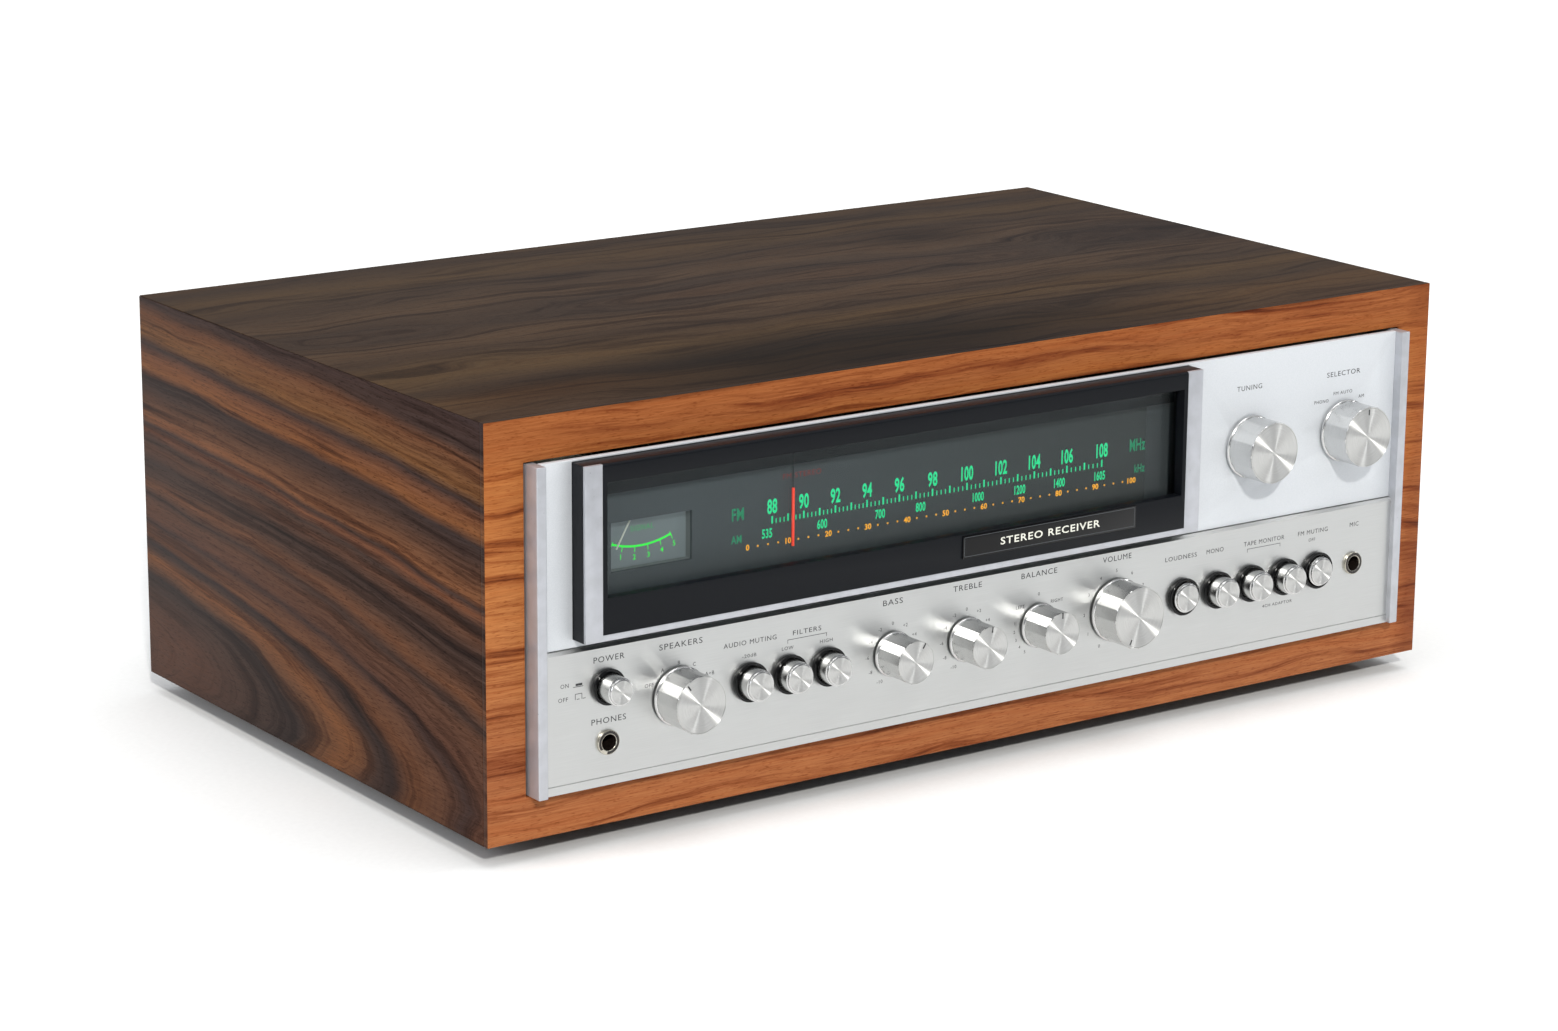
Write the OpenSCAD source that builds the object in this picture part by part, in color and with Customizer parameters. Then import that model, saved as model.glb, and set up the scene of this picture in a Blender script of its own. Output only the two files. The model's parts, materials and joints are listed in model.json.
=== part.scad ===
// Stereo receiver in a wooden cabinet.
// x runs to the right, y to the rear and z up. The origin is on the floor, under the middle.

/* [Cabinet] */
// Width of the wooden cabinet
cabinet_w = 482; // [476:1:500]
// Height of the wooden cabinet without its feet
cabinet_h = 167; // [165:1:180]
// Depth of the wooden cabinet
cabinet_d = 282; // [270:1:320]
// Thickness of the cabinet boards
board_t = 17.5; // [16:0.5:19]
// Thickness of the solid wood lipping on the front edges
lipping_t = 3; // [2:0.5:6]
// Height of the feet
foot_h = 9; // [7:0.5:16]
// Diameter of the feet at the cabinet
foot_d = 26; // [22:1:34]
// Distance from the cabinet's outer faces to the feet's centres
foot_inset = 58; // [48:1:70]
// Diameter of the bolts through the feet
bolt_d = 5; // [4:0.5:6]

/* [Front panels] */
// Gap between the panels and the cabinet boards
panel_gap = 0.6; // [0.3:0.1:1]
// Width of the end trims
trim_w = 4.3; // [3:0.1:6]
// Distance that the end trims stand proud of the wood
trim_proud = 8; // [6:0.5:10]
// Distance that the lower faceplate stands proud of the wood
lower_proud = 5.5; // [4.5:0.1:6]
// Thickness of the lower faceplate
lower_t = 3; // [2:0.25:3.5]
// Height of the lower faceplate
lower_h = 56.8; // [55:0.2:58]
// Distance that the upper faceplate stands proud of the wood
upper_proud = 3.7; // [3.2:0.1:4.2]
// Thickness of the upper faceplate
upper_t = 2.5; // [1.5:0.1:3]
// Height of the shadow gap over the upper faceplate
top_gap = 0.6; // [0.5:0.1:2]

/* [Dial window] */
// Distance that the dial bezel stands proud of the wood
bezel_proud = 12.7; // [12:0.1:15]
// Width of the dial bezel
bezel_w = 305.3; // [300:0.1:308]
// Distance from the panels' left end to the bezel
bezel_edge = 14.05; // [12:0.05:16]
// Height of the strip of faceplate over the bezel
bezel_top_strip = 1; // [0.8:0.1:3]
// Height of the strip of faceplate under the bezel
bezel_bottom_strip = 3.3; // [2:0.1:5]
// Thickness of the bezel's four walls
bezel_wall = 2; // [1.5:0.1:3]
// Width of the bezel's front frame beside the window
frame_side = 10; // [9:0.1:12]
// Height of the bezel's front frame over the window
frame_top = 7.4; // [5.5:0.1:8]
// Height of the bezel's front frame under the window
frame_bottom = 16.8; // [16:0.1:19]
// Thickness of the bezel's front frame, which is the depth of the window recess
frame_t = 4.7; // [4.4:0.1:6]
// Width of the aluminium trim's upright bars
trim_bar_w = 8; // [5:0.1:8.5]
// Height of the aluminium trim's bottom bar
trim_bar_h = 2.5; // [1.5:0.1:4]
// Thickness of the aluminium trim
trim_bar_t = 1.5; // [1:0.1:2]
// Thickness of the dial glass
glass_t = 2.5; // [2:0.1:3]
// Distance that the glass reaches behind the frame on each side
glass_lap = 3; // [2:0.1:4]
// Width of the blank badge plate
badge_w = 90.5; // [60:0.5:110]
// Height of the blank badge plate
badge_h = 9.6; // [6:0.1:11]
// Distance from the badge plate to the bezel's right end
badge_edge = 34.9; // [33:0.1:55]
// Distance that the badge plate stands proud of the bezel
badge_proud = 0.5; // [0.3:0.1:1]
// Depth of the scale plate's front face behind the wood's front
plate_y = 2; // [1.5:0.1:2.5]
// Thickness of the scale plate
plate_t = 1.5; // [1:0.1:2]

/* [Meter] */
// Width of the meter's window
meter_w = 37.5; // [34:0.1:37.5]
// Height of the meter's window
meter_h = 19.7; // [17:0.1:20]
// Distance from the dial window's left end to the meter's window
meter_edge = 11; // [8:0.05:11]
// Height of the meter's middle over the cabinet's underside
meter_z = 109.9; // [109:0.1:111]
// Length of the meter's needle from its pivot
needle_l = 20.6; // [17:0.1:21]
// Angle of the needle at rest, to the left of straight down
needle_rest = 30; // [28:1:35]
// Distance of the needle's pivot to the left of the meter's middle
pivot_shift = 4.3; // [2:0.1:5]

/* [Dial drive] */
// Depth of the plane of the dial cord behind the wood's front
cord_y = 11.6; // [11.5:0.1:11.8]
// Diameter of the dial cord
cord_d = 0.8; // [0.6:0.1:1]
// Radius of the cord pulleys at the groove
pulley_r = 6; // [5:0.1:6.5]
// Radius of the dial drum at the groove
drum_r = 31.5; // [28:0.5:33]
// Distance from the drum's axis to the bezel's right end
drum_edge = 41; // [38:0.5:46]
// Radius of the tuning shaft where it drives the cord
spindle_r = 5; // [4:0.1:6]
// Diameter of the pointer's guide rail
rail_d = 2.5; // [2:0.1:3]
// Height of the guide rail over the cabinet's underside
rail_z = 143; // [142.6:0.1:143.4]
// Distance from the dial window's left end to the pointer at rest
pointer_edge = 94.55; // [84:0.05:134]
// Width of the pointer's bar
pointer_w = 1.1; // [0.8:0.1:2]
// Radius of the flywheel on the tuning shaft
flywheel_r = 22; // [16:0.5:24]
// Thickness of the flywheel
flywheel_t = 12; // [6:0.5:14]

/* [Knobs] */
// Diameter of the control shafts
shaft_d = 6; // [5:0.1:6.35]
// Running clearance of a shaft in its bearing
shaft_play = 0.05; // [0.02:0.01:0.08]
// Gap between a knob and its panel
knob_gap = 0.8; // [0.5:0.1:1.5]
// Distance from the panel to the face of a knob
knob_h = 16; // [14:0.1:18]
// Radius of the tuning, selector and volume knobs
large_knob_r = 13.6; // [12:0.1:14.5]
// Radius of the speakers knob
speakers_knob_r = 12.1; // [11:0.1:13]
// Radius of the tone and balance knobs
tone_knob_r = 9.4; // [8:0.1:11]
// Height of the row of knobs and buttons over the panel's lower edge
row_h = 30.5; // [28:0.1:32]
// Height of the tuning and selector knobs over the lower faceplate
tuner_knob_h = 33.9; // [30:0.1:36]
// Place of the tuning knob, as a share of the way from the bezel to the panels' right end
tuning_share = 0.2984; // [0.27:0.0001:0.32]
// Place of the selector knob, as a share of the same way
selector_share = 0.7539; // [0.73:0.0001:0.77]
// Position across of the speakers knob
speakers_x = -157; // [-160:0.5:-154]
// Position across of the bass knob, the first of the three tone knobs
bass_x = -53.4; // [-56:0.1:-50]
// Spacing of the three tone knobs
tone_pitch = 37.5; // [35:0.1:38]
// Position across of the volume knob
volume_x = 63; // [61:0.5:66]

/* [Buttons] */
// Radius of a push button
button_r = 6.5; // [5.5:0.1:6.8]
// Distance from the panel to the face of a button that is out
button_out = 8.5; // [6:0.1:10]
// Travel of a button
button_travel = 4.4; // [3:0.1:5]
// Position across of the first button on the left
left_buttons_x = -123.5; // [-125:0.1:-122]
// Position across of the first button on the right
right_buttons_x = 99.5; // [99:0.1:100.5]
// Spacing of the buttons
button_pitch = 19; // [18:0.1:19.2]
// Radius of the power button
power_r = 5.7; // [5:0.1:6.5]
// Distance from the panel to the face of the power button
power_out = 10.5; // [8:0.1:12]
// Position across of the power button and the headphone jack
power_x = -190; // [-193:0.5:-187]
// Height of the power button over the row of knobs
power_up = 9.4; // [8:0.1:12]
// Distance that the collars stand proud of the panel
collar_proud = 2; // [1.5:0.1:2.4]
// Width of a collar's ring
collar_w = 1.2; // [1:0.1:1.3]
// Gap between a button and its collar
button_gap = 0.35; // [0.3:0.01:0.4]
// Diameter of the buttons' plungers
plunger_d = 4.4; // [4:0.1:5]

/* [Jacks] */
// Bore of the headphone and microphone jacks
jack_bore_d = 6.4; // [6.38:0.01:6.45]
// Depth of the jacks' bores
jack_bore_l = 30; // [28:0.5:32]
// Radius of the jacks' front rings
jack_ring_r = 5; // [4.6:0.1:5.4]
// Position across of the microphone jack
mic_x = 196.5; // [195:0.5:198]
// Distance from the row of knobs down to the headphone jack
phones_down = 13; // [12.5:0.1:13.5]

/* [Chassis] */
// Depth of the front sub-panel behind the wood's front
subpanel_y = 14; // [13.8:0.1:15]
// Thickness of the steel sheets
sheet_t = 1.5; // [1:0.1:2]
// Height of the chassis tray's side walls
tray_wall_h = 38; // [25:1:60]
// Distance from the cabinet's rear edge to the rear panel
rear_recess = 20; // [19:0.5:26]
// Height of the rear panel
rear_panel_h = 128; // [120:1:130]
// Length of a transformer core along y
transformer_l = 66; // [50:1:80]
// Height of the transformer
transformer_h = 82; // [60:1:95]
// Radius of the filter capacitors
can_r = 17.5; // [14:0.5:20]
// Height of the filter capacitors
can_h = 76; // [50:1:95]
// Length of the heat sink
sink_l = 168; // [120:1:180]
// Height of the heat sink
sink_h = 78; // [50:1:90]
// Number of fins on the heat sink
sink_fins = 15; // [8:1:18]
// Thickness of the circuit boards
board_pcb_t = 1.6; // [1:0.1:2]

/* [Rear panel] */
// Radius of the outer contact of an input jack
rca_r = 4.15; // [4:0.05:4.3]
// Length of the outer contact of an input jack
rca_l = 9; // [8:0.1:9.5]
// Spacing of the input jacks
rca_pitch = 18; // [15:0.5:20]
// Number of pairs of input jacks
rca_pairs = 7; // [4:1:7]
// Spacing of the terminal screws
screw_pitch = 11; // [10:0.5:12]
// Diameter of the ferrite antenna
antenna_d = 13; // [10:0.5:14]
// Length of the ferrite antenna
antenna_l = 150; // [120:1:170]

/* [Hidden] */
$fn = 48;

// Depths are counted from the front plane of the wood, heights from the cabinet's underside.
front_reach = max(lower_proud + knob_h, upper_proud + knob_h, bezel_proud + badge_proud);
front_y = front_reach - (cabinet_d + front_reach) / 2;
half_w = cabinet_w / 2;
open_half = half_w - board_t;
open_top = cabinet_h - board_t;
seat_gap = 0.3;
part_gap = 0.1;

// Front panels
trim_out = open_half - panel_gap - 0.2;
panel_half = trim_out - trim_w;
panel_bottom = board_t + 0.4;
lower_top = panel_bottom + lower_h;
upper_bottom = lower_top + seat_gap;
upper_top = open_top - top_gap;
row_z = panel_bottom + row_h;
tuner_z = lower_top + tuner_knob_h;
power_z = row_z + power_up;
phones_z = row_z - phones_down;
lower_back = lower_t - lower_proud;
upper_back = upper_t - upper_proud;

// Places across on the lower faceplate are given for panels of this half width, and spread with it
layout_half = 218.4;
function across(x) = x * panel_half / layout_half;

// Dial window
bezel_left = bezel_edge - panel_half;
bezel_right = bezel_left + bezel_w;
bezel_x = (bezel_left + bezel_right) / 2;
bezel_top = upper_top - bezel_top_strip;
bezel_bottom = upper_bottom + bezel_bottom_strip;
bezel_back = plate_y + plate_t;
window_left = bezel_left + frame_side;
window_right = bezel_right - frame_side;
window_top = bezel_top - frame_top;
window_bottom = bezel_bottom + frame_bottom;
glass_front = frame_t - bezel_proud;
bezel_flange = 3;
flange_t = 2;
plate_top = window_top + 0.9;
badge_x = bezel_right - badge_edge - badge_w / 2;
meter_x = window_left + meter_edge + meter_w / 2;

// Dial drive
cord_r = cord_d / 2;
cord_gap = 0.3;
pulley_rim = 1.5;
pulley_t = 2.8;
drum_t = 3.2;
pulley_z = rail_z - pulley_r - cord_gap - cord_r;
left_pulley_x = bezel_left + 8;
right_pulley_x = bezel_right + 5;
pointer_x = window_left + pointer_edge;
drum_x = bezel_right - drum_edge;
drum_z = tuner_z - 4;
pin_r = 1.5;
bearing_l = 6;
pointer_y = -1.2;
pointer_t = 0.8;

// Controls
tuning_x = bezel_right + tuning_share * (panel_half - bezel_right);
selector_x = bezel_right + selector_share * (panel_half - bezel_right);
speakers_at = across(speakers_x);
bass_at = across(bass_x);
tone_step = across(tone_pitch);
volume_at = across(volume_x);
power_at = across(power_x);
mic_at = across(mic_x);
left_buttons_at = across(left_buttons_x);
right_buttons_at = across(right_buttons_x);
button_step = across(button_pitch);
shaft_r = shaft_d / 2;
bearing_r = shaft_r + shaft_play;
bushing_r = shaft_r + 1.7;
bushing_front = subpanel_y - 5;
behind = subpanel_y + sheet_t;
shaft_depth = 8;
tone_pot_r = 12;
tone_pot_l = 11;
volume_pot_r = 14;
volume_pot_l = 20;
wafer_r = 15;
plunger_r = plunger_d / 2;
plunger_bore_r = plunger_r + 0.08;
collar_in = button_r + button_gap;
power_collar_in = power_r + button_gap;
switch_l = 36;
switch_w = 13;
button_row = [
    [left_buttons_at, 0], [left_buttons_at + button_step, 0],
    [left_buttons_at + 2 * button_step, 0], [right_buttons_at, button_travel],
    [right_buttons_at + button_step, 0], [right_buttons_at + 2 * button_step, 0],
    [right_buttons_at + 3 * button_step, 0], [right_buttons_at + 4 * button_step, button_travel]
];
pot_places = [
    [bass_at, tone_pot_r, tone_pot_l], [bass_at + tone_step, tone_pot_r, tone_pot_l],
    [bass_at + 2 * tone_step, tone_pot_r, tone_pot_l], [volume_at, volume_pot_r, volume_pot_l]
];
switch_places = [[speakers_at, row_z], [selector_x, tuner_z]];

// Chassis
chassis_half = open_half - 2;
floor_z = board_t + sheet_t;
rear_y = cabinet_d - rear_recess;
subpanel_top = open_top - 3;
foot_places = [for (sx = [-1, 1]) for (y = [foot_inset, cabinet_d - foot_inset])
    [sx * (half_w - foot_inset), y]];
standoff_h = 8;

transformer_x = -chassis_half + 26;
transformer_w = 84;
can_x = transformer_x + transformer_w + 41.5;
sink_x = can_x + 50;
amplifier_x = can_x + 30;
amplifier_w = 84;
amplifier_l = 88;
tuner_w = 96;
tuner_l = 96;
tuner_x = chassis_half - 21.5 - tuner_w;

// Rear panel
rca_x = chassis_half - 31.5 - rca_pitch * (rca_pairs - 1);
rca_z = floor_z + 16;
antenna_z = board_t + rear_panel_h - 14;
antenna_x = chassis_half - 161.5;
antenna_screws_x = chassis_half - 117.5;
antenna_screws_z = board_t + 74;
outlet_w = 34;
outlet_h = 24;
outlet_t = 5;
outlet_step = 30;
outlet_x = -chassis_half + 40.5;
outlet_z = floor_z + 24;
blade_step = 6;
fuse_x = outlet_x + 36;
fuse_z = floor_z + 54;
gland_z = floor_z + 24;
speaker_screws_x = fuse_x + 27;
speaker_screws_z = floor_z + 12;
screw_base_t = 7;
screw_row = 14;
antenna_pin_r = 2;
antenna_gap = 1.5;
antenna_y = rear_y + sheet_t + antenna_gap + antenna_d / 2;
ear_t = 2;

// Places a piece that is drawn from the front plane of the wood and the cabinet's underside
module placed() {
    translate([0, front_y, foot_h]) children();
}

// Box between two corners
module box(low, high) {
    translate(low) cube(high - low);
}

// Round bar along y
module bar(r, y0, y1, x = 0, z = 0) {
    translate([x, y0, z]) rotate([-90, 0, 0]) cylinder(r = r, h = y1 - y0);
}

// Prism along y with an outline of x and z
module slab(points, y0, y1) {
    translate([0, y1, 0]) rotate([90, 0, 0]) linear_extrude(y1 - y0) polygon(points);
}

// Centres of the ten holes for buttons, with each collar's inner radius
function button_holes() = concat(
    [for (b = button_row) [b[0], row_z, collar_in]],
    [[power_at, power_z, power_collar_in]]
);

// ---- Cabinet ----

module cabinet_top() {
    color("#3a2318") placed() slab([
        [-half_w, cabinet_h], [half_w, cabinet_h], [open_half, open_top], [-open_half, open_top]
    ], lipping_t, cabinet_d);
}

module cabinet_bottom() {
    slots = 12;
    slot_pitch = 15;
    color("#3a2318") placed() difference() {
        slab([[-half_w, 0], [half_w, 0], [open_half, board_t], [-open_half, board_t]],
            lipping_t, cabinet_d);
        for (p = foot_places)
            translate([p[0], p[1], -1]) cylinder(d = bolt_d + 0.4, h = board_t + 2);
        for (i = [0 : slots - 1])
            translate([(i - (slots - 1) / 2) * slot_pitch - 2, cabinet_d / 2 - 30, -1])
                cube([4, 60, board_t + 2]);
    }
}

module cabinet_side(side) {
    placed() slab([
        [side * half_w, 0], [side * half_w, cabinet_h],
        [side * open_half, open_top], [side * open_half, board_t]
    ], lipping_t, cabinet_d);
}

module cabinet_left_side() {
    color("#43281a") cabinet_side(-1);
}

module cabinet_right_side() {
    color("#43281a") cabinet_side(1);
}

module front_lipping() {
    color("#a5602f") placed() difference() {
        box([-half_w, 0, 0], [half_w, lipping_t, cabinet_h]);
        box([-open_half, -1, board_t], [open_half, lipping_t + 1, open_top]);
    }
}

module rubber_feet() {
    recess_h = foot_h - 4;
    color("#1c1c1e") placed() for (p = foot_places) translate([p[0], p[1], -foot_h]) difference() {
        cylinder(d1 = foot_d - 3, d2 = foot_d, h = foot_h);
        translate([0, 0, -1]) cylinder(d = 2 * bolt_d + 2, h = recess_h + 1);
        cylinder(d = bolt_d + 0.4, h = foot_h + 1);
    }
}

module chassis_bolts() {
    head_h = 3;
    color("#9a9da0") placed() for (p = foot_places) translate([p[0], p[1], -4]) {
        translate([0, 0, -head_h]) cylinder(d = 2 * bolt_d, h = head_h);
        cylinder(d = bolt_d, h = floor_z + 4 + 6);
    }
}

// ---- Chassis ----

module chassis_tray() {
    color("#b5b7b2") placed() difference() {
        union() {
            box([-chassis_half, behind, board_t], [chassis_half, rear_y, floor_z]);
            for (side = [-1, 1])
                box([side * (chassis_half - sheet_t / 2) - sheet_t / 2, behind, board_t],
                    [side * (chassis_half - sheet_t / 2) + sheet_t / 2, rear_y,
                    board_t + tray_wall_h]);
        }
        for (p = foot_places)
            translate([p[0], p[1], board_t - 1]) cylinder(d = bolt_d + 0.1, h = sheet_t + 2);
    }
}

module front_subpanel() {
    color("#b9bbb6") placed() difference() {
        union() {
            box([-chassis_half, subpanel_y, board_t], [chassis_half, behind, subpanel_top]);
            for (x = [drum_x, tuning_x])
                bar(bearing_r + 3, subpanel_y, subpanel_y + bearing_l, x,
                    x == drum_x ? drum_z : tuner_z);
            for (x = [left_pulley_x, right_pulley_x]) {
                bar(pin_r, cord_y - pulley_t / 2 - 0.3, subpanel_y, x, pulley_z);
                bar(pin_r + 1.2, cord_y - pulley_t / 2 - 1.1, cord_y - pulley_t / 2 - 0.3,
                    x, pulley_z);
            }
        }
        for (p = pot_places) bar(bushing_r + part_gap, subpanel_y - 1, behind + 1, p[0], row_z);
        for (p = switch_places) bar(bushing_r + part_gap, subpanel_y - 1, behind + 1, p[0], p[1]);
        for (b = button_holes()) bar(plunger_r + 1, subpanel_y - 1, behind + 1, b[0], b[1]);
        bar(bearing_r, subpanel_y - 1, subpanel_y + bearing_l + 1, drum_x, drum_z);
        bar(bearing_r, subpanel_y - 1, subpanel_y + bearing_l + 1, tuning_x, tuner_z);
        bar(8.3, subpanel_y - 1, behind + 1, power_at, phones_z);
        bar(8.3, subpanel_y - 1, behind + 1, mic_at, row_z);
    }
}

module rear_panel() {
    slots = 16;
    color("#8d8f8c") placed() {
        difference() {
            box([-chassis_half, rear_y, board_t],
                [chassis_half, rear_y + sheet_t, board_t + rear_panel_h]);
            for (i = [0 : slots - 1])
                box([-150 + i * 9, rear_y - 1, board_t + 66],
                    [-146 + i * 9, rear_y + sheet_t + 1, board_t + 106]);
        }
        // Hinge ears and pin of the antenna
        for (s = [-1, 1]) antenna_ear(s);
        translate([antenna_x, antenna_y, antenna_z - antenna_d / 2 - seat_gap])
            cylinder(r = antenna_pin_r, h = antenna_d + 2 * seat_gap);
    }
}

module antenna_ear(s) {
    mid = antenna_z + s * (antenna_d / 2 + seat_gap + ear_t / 2);
    box([antenna_x - 5, rear_y + sheet_t, mid - ear_t / 2],
        [antenna_x + 5, antenna_y + 5, mid + ear_t / 2]);
}

// ---- Front panels ----

module upper_faceplate() {
    color("#d5d8da") placed() difference() {
        box([-panel_half, -upper_proud, upper_bottom], [panel_half, upper_back, upper_top]);
        box([bezel_left - part_gap, -upper_proud - 1, bezel_bottom - part_gap],
            [bezel_right + part_gap, upper_back + 1, bezel_top + part_gap]);
        for (x = [tuning_x, selector_x])
            bar(shaft_r + 1.5, -upper_proud - 1, upper_back + 1, x, tuner_z);
    }
}

// The top edge of the lower faceplate is a sloping ledge up to the upper faceplate
module lower_faceplate() {
    ledge = min(1.2, lower_t / 2);
    color("#cdcdc9") placed() difference() {
        translate([-panel_half, 0, 0]) rotate([90, 0, 90]) linear_extrude(2 * panel_half) polygon([
            [-lower_proud, panel_bottom], [lower_back, panel_bottom], [lower_back, lower_top],
            [-lower_proud + ledge, lower_top], [-lower_proud, lower_top - ledge]
        ]);
        for (p = pot_places)
            bar(shaft_r + 1.5, -lower_proud - 1, lower_back + 1, p[0], row_z);
        bar(shaft_r + 1.5, -lower_proud - 1, lower_back + 1, speakers_at, row_z);
        for (b = button_holes())
            bar(b[2] + collar_w / 2 + part_gap, -lower_proud - 1, lower_back + 1, b[0], b[1]);
        bar(jack_ring_r - 0.5, -lower_proud - 1, lower_back + 1, power_at, phones_z);
        bar(jack_ring_r - 0.5, -lower_proud - 1, lower_back + 1, mic_at, row_z);
    }
}

module end_trims() {
    color("#c9cccf") placed() for (side = [-1, 1])
        box([side * (trim_out - trim_w / 2) - trim_w / 2, -trim_proud, panel_bottom],
            [side * (trim_out - trim_w / 2) + trim_w / 2, subpanel_y, upper_top]);
}

// ---- Dial window ----

module dial_bezel() {
    color("#191b1f") placed() difference() {
        union() {
            box([bezel_left, -bezel_proud, bezel_bottom], [bezel_right, bezel_back, bezel_top]);
            for (side = [-1, 1])
                box([bezel_x + side * bezel_w / 2 - bezel_flange, upper_back, bezel_bottom],
                    [bezel_x + side * bezel_w / 2 + bezel_flange, upper_back + flange_t,
                    bezel_top]);
        }
        box([window_left, -bezel_proud - 1, window_bottom],
            [window_right, bezel_back + 1, window_top]);
        box([bezel_left + bezel_wall, glass_front, bezel_bottom + bezel_wall],
            [bezel_right - bezel_wall, bezel_back + 1, bezel_top - bezel_wall]);
        box([bezel_left - 1, -bezel_proud - 1, bezel_bottom - 1],
            [bezel_left + trim_bar_w, trim_bar_t - bezel_proud, bezel_top + 1]);
        box([bezel_right - trim_bar_w, -bezel_proud - 1, bezel_bottom - 1],
            [bezel_right + 1, trim_bar_t - bezel_proud, bezel_top + 1]);
        box([bezel_left, -bezel_proud - 1, bezel_bottom - 1],
            [bezel_right, trim_bar_t - bezel_proud, bezel_bottom + trim_bar_h]);
    }
}

module dial_trim() {
    color("#bfc2c6") placed() slab([
        [bezel_left, bezel_bottom], [bezel_right, bezel_bottom], [bezel_right, bezel_top],
        [bezel_right - trim_bar_w, bezel_top],
        [bezel_right - trim_bar_w, bezel_bottom + trim_bar_h],
        [bezel_left + trim_bar_w, bezel_bottom + trim_bar_h],
        [bezel_left + trim_bar_w, bezel_top], [bezel_left, bezel_top]
    ], -bezel_proud, trim_bar_t - bezel_proud);
}

module dial_glass() {
    color("#7d8a8c", 0.4) placed()
        box([window_left - glass_lap, glass_front, window_bottom - glass_lap],
            [window_right + glass_lap, glass_front + glass_t, window_top + glass_lap]);
}

module badge_plate() {
    middle = window_bottom - 0.5 - badge_h / 2;
    color("#101114") placed()
        box([badge_x - badge_w / 2, -bezel_proud - badge_proud, middle - badge_h / 2],
            [badge_x + badge_w / 2, -bezel_proud, middle + badge_h / 2]);
}

module dial_plate() {
    color("#39403f") placed() difference() {
        box([bezel_left + bezel_wall, plate_y, bezel_bottom + bezel_wall],
            [bezel_right - bezel_wall, plate_y + plate_t, plate_top]);
        box([meter_x - meter_w / 2, plate_y - 1, meter_z - meter_h / 2],
            [meter_x + meter_w / 2, plate_y + plate_t + 1, meter_z + meter_h / 2]);
    }
}

// Festoon lamps in clips on a reflector strip, behind the bezel's lower frame
module dial_lamps() {
    lamps = 5;
    lamp_r = 3;
    lamp_l = 30;
    lamp_pitch = (bezel_w - 2 * bezel_wall - 10) / lamps;
    strip_z = bezel_bottom + bezel_wall;
    lamp_y = glass_front + glass_t + 0.4 + lamp_r;
    color("#e8e2cf") placed() {
        box([bezel_left + bezel_wall + 2, glass_front + glass_t, strip_z],
            [bezel_right - bezel_wall - 2, plate_y, strip_z + 1]);
        for (i = [0 : lamps - 1]) translate([bezel_x + (i - (lamps - 1) / 2) * lamp_pitch, 0, 0]) {
            translate([-lamp_l / 2, lamp_y, strip_z + 1.5 + lamp_r]) rotate([0, 90, 0])
                cylinder(r = lamp_r, h = lamp_l);
            for (s = [-1, 1])
                box([s * lamp_l / 2 - 1, lamp_y - 2, strip_z + 1],
                    [s * lamp_l / 2 + 1, lamp_y + 2, strip_z + 1.5 + 2 * lamp_r]);
        }
    }
}

// ---- Meter ----

pivot_z = meter_z + meter_h / 2 + 6.3;
pivot_x = meter_x - pivot_shift;
meter_depth = 3;
meter_back = plate_y + plate_t + meter_depth + 3.4;
meter_pin_r = 0.6;
needle_y = plate_y + plate_t + 1.2;

module meter_case() {
    color("#5d6664") placed() {
        difference() {
            box([meter_x - meter_w / 2 - 2, plate_y + plate_t, meter_z - meter_h / 2 - 2],
                [meter_x + meter_w / 2 + 2, meter_back, pivot_z + 3.5]);
            box([meter_x - meter_w / 2, plate_y + plate_t - 1, meter_z - meter_h / 2],
                [meter_x + meter_w / 2, plate_y + plate_t + meter_depth, pivot_z + 2]);
        }
        bar(meter_pin_r, needle_y - 0.8, plate_y + plate_t + meter_depth, pivot_x, pivot_z);
    }
}

module meter_needle() {
    needle_t = 0.5;
    color("#e8e8dc") placed() translate([pivot_x, 0, pivot_z]) rotate([0, needle_rest, 0])
        difference() {
            union() {
                bar(1.5, needle_y - needle_t / 2, needle_y + needle_t / 2);
                box([-0.25, needle_y - needle_t / 2, -needle_l],
                    [0.25, needle_y + needle_t / 2, 0]);
            }
            bar(meter_pin_r + 0.05, needle_y - 1, needle_y + 1);
        }
}

// ---- Dial drive ----

rail_y = cord_y - 3.6;

// Posts at the rail's ends hold it from above, clear of the cord
module pointer_rail() {
    post_up = cord_r + cord_gap + rail_d / 2;
    left = left_pulley_x + 10;
    right = right_pulley_x - 12;
    color("#c8cacc") placed() {
        translate([left, rail_y, rail_z]) rotate([0, 90, 0]) cylinder(d = rail_d, h = right - left);
        for (x = [left + 2, right - 2])
            bar(rail_d / 2, rail_y - rail_d / 2, subpanel_y, x, rail_z + post_up);
    }
}

// The slider rides on the rail, and its arm reaches over the scale plate
module dial_pointer() {
    bar_bottom = window_bottom + 4;
    slider_w = 8;
    color("#e8442c") placed() translate([pointer_x, 0, 0]) {
        difference() {
            union() {
                box([-slider_w / 2, rail_y - 2.2, rail_z - 2.1],
                    [slider_w / 2, rail_y + 2.6, rail_z + 2.1]);
                box([-pointer_w / 2, pointer_y, rail_z - 0.9],
                    [pointer_w / 2, rail_y - 1.4, rail_z + 0.1]);
            }
            translate([-slider_w, rail_y, rail_z]) rotate([0, 90, 0])
                cylinder(d = rail_d + 0.1, h = 2 * slider_w);
        }
        box([-pointer_w / 2, pointer_y, bar_bottom],
            [pointer_w / 2, pointer_y + pointer_t, rail_z + 0.1]);
    }
}

// Direction out of the belt of the straight run between two wheels that it wraps clockwise
function run_normal(a, b, ra, rb) =
    let (d = b - a, l = norm(d), u = d / l, s = (ra - rb) / l, c = sqrt(1 - s * s))
    [u[0] * s - u[1] * c, u[1] * s + u[0] * c];

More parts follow.
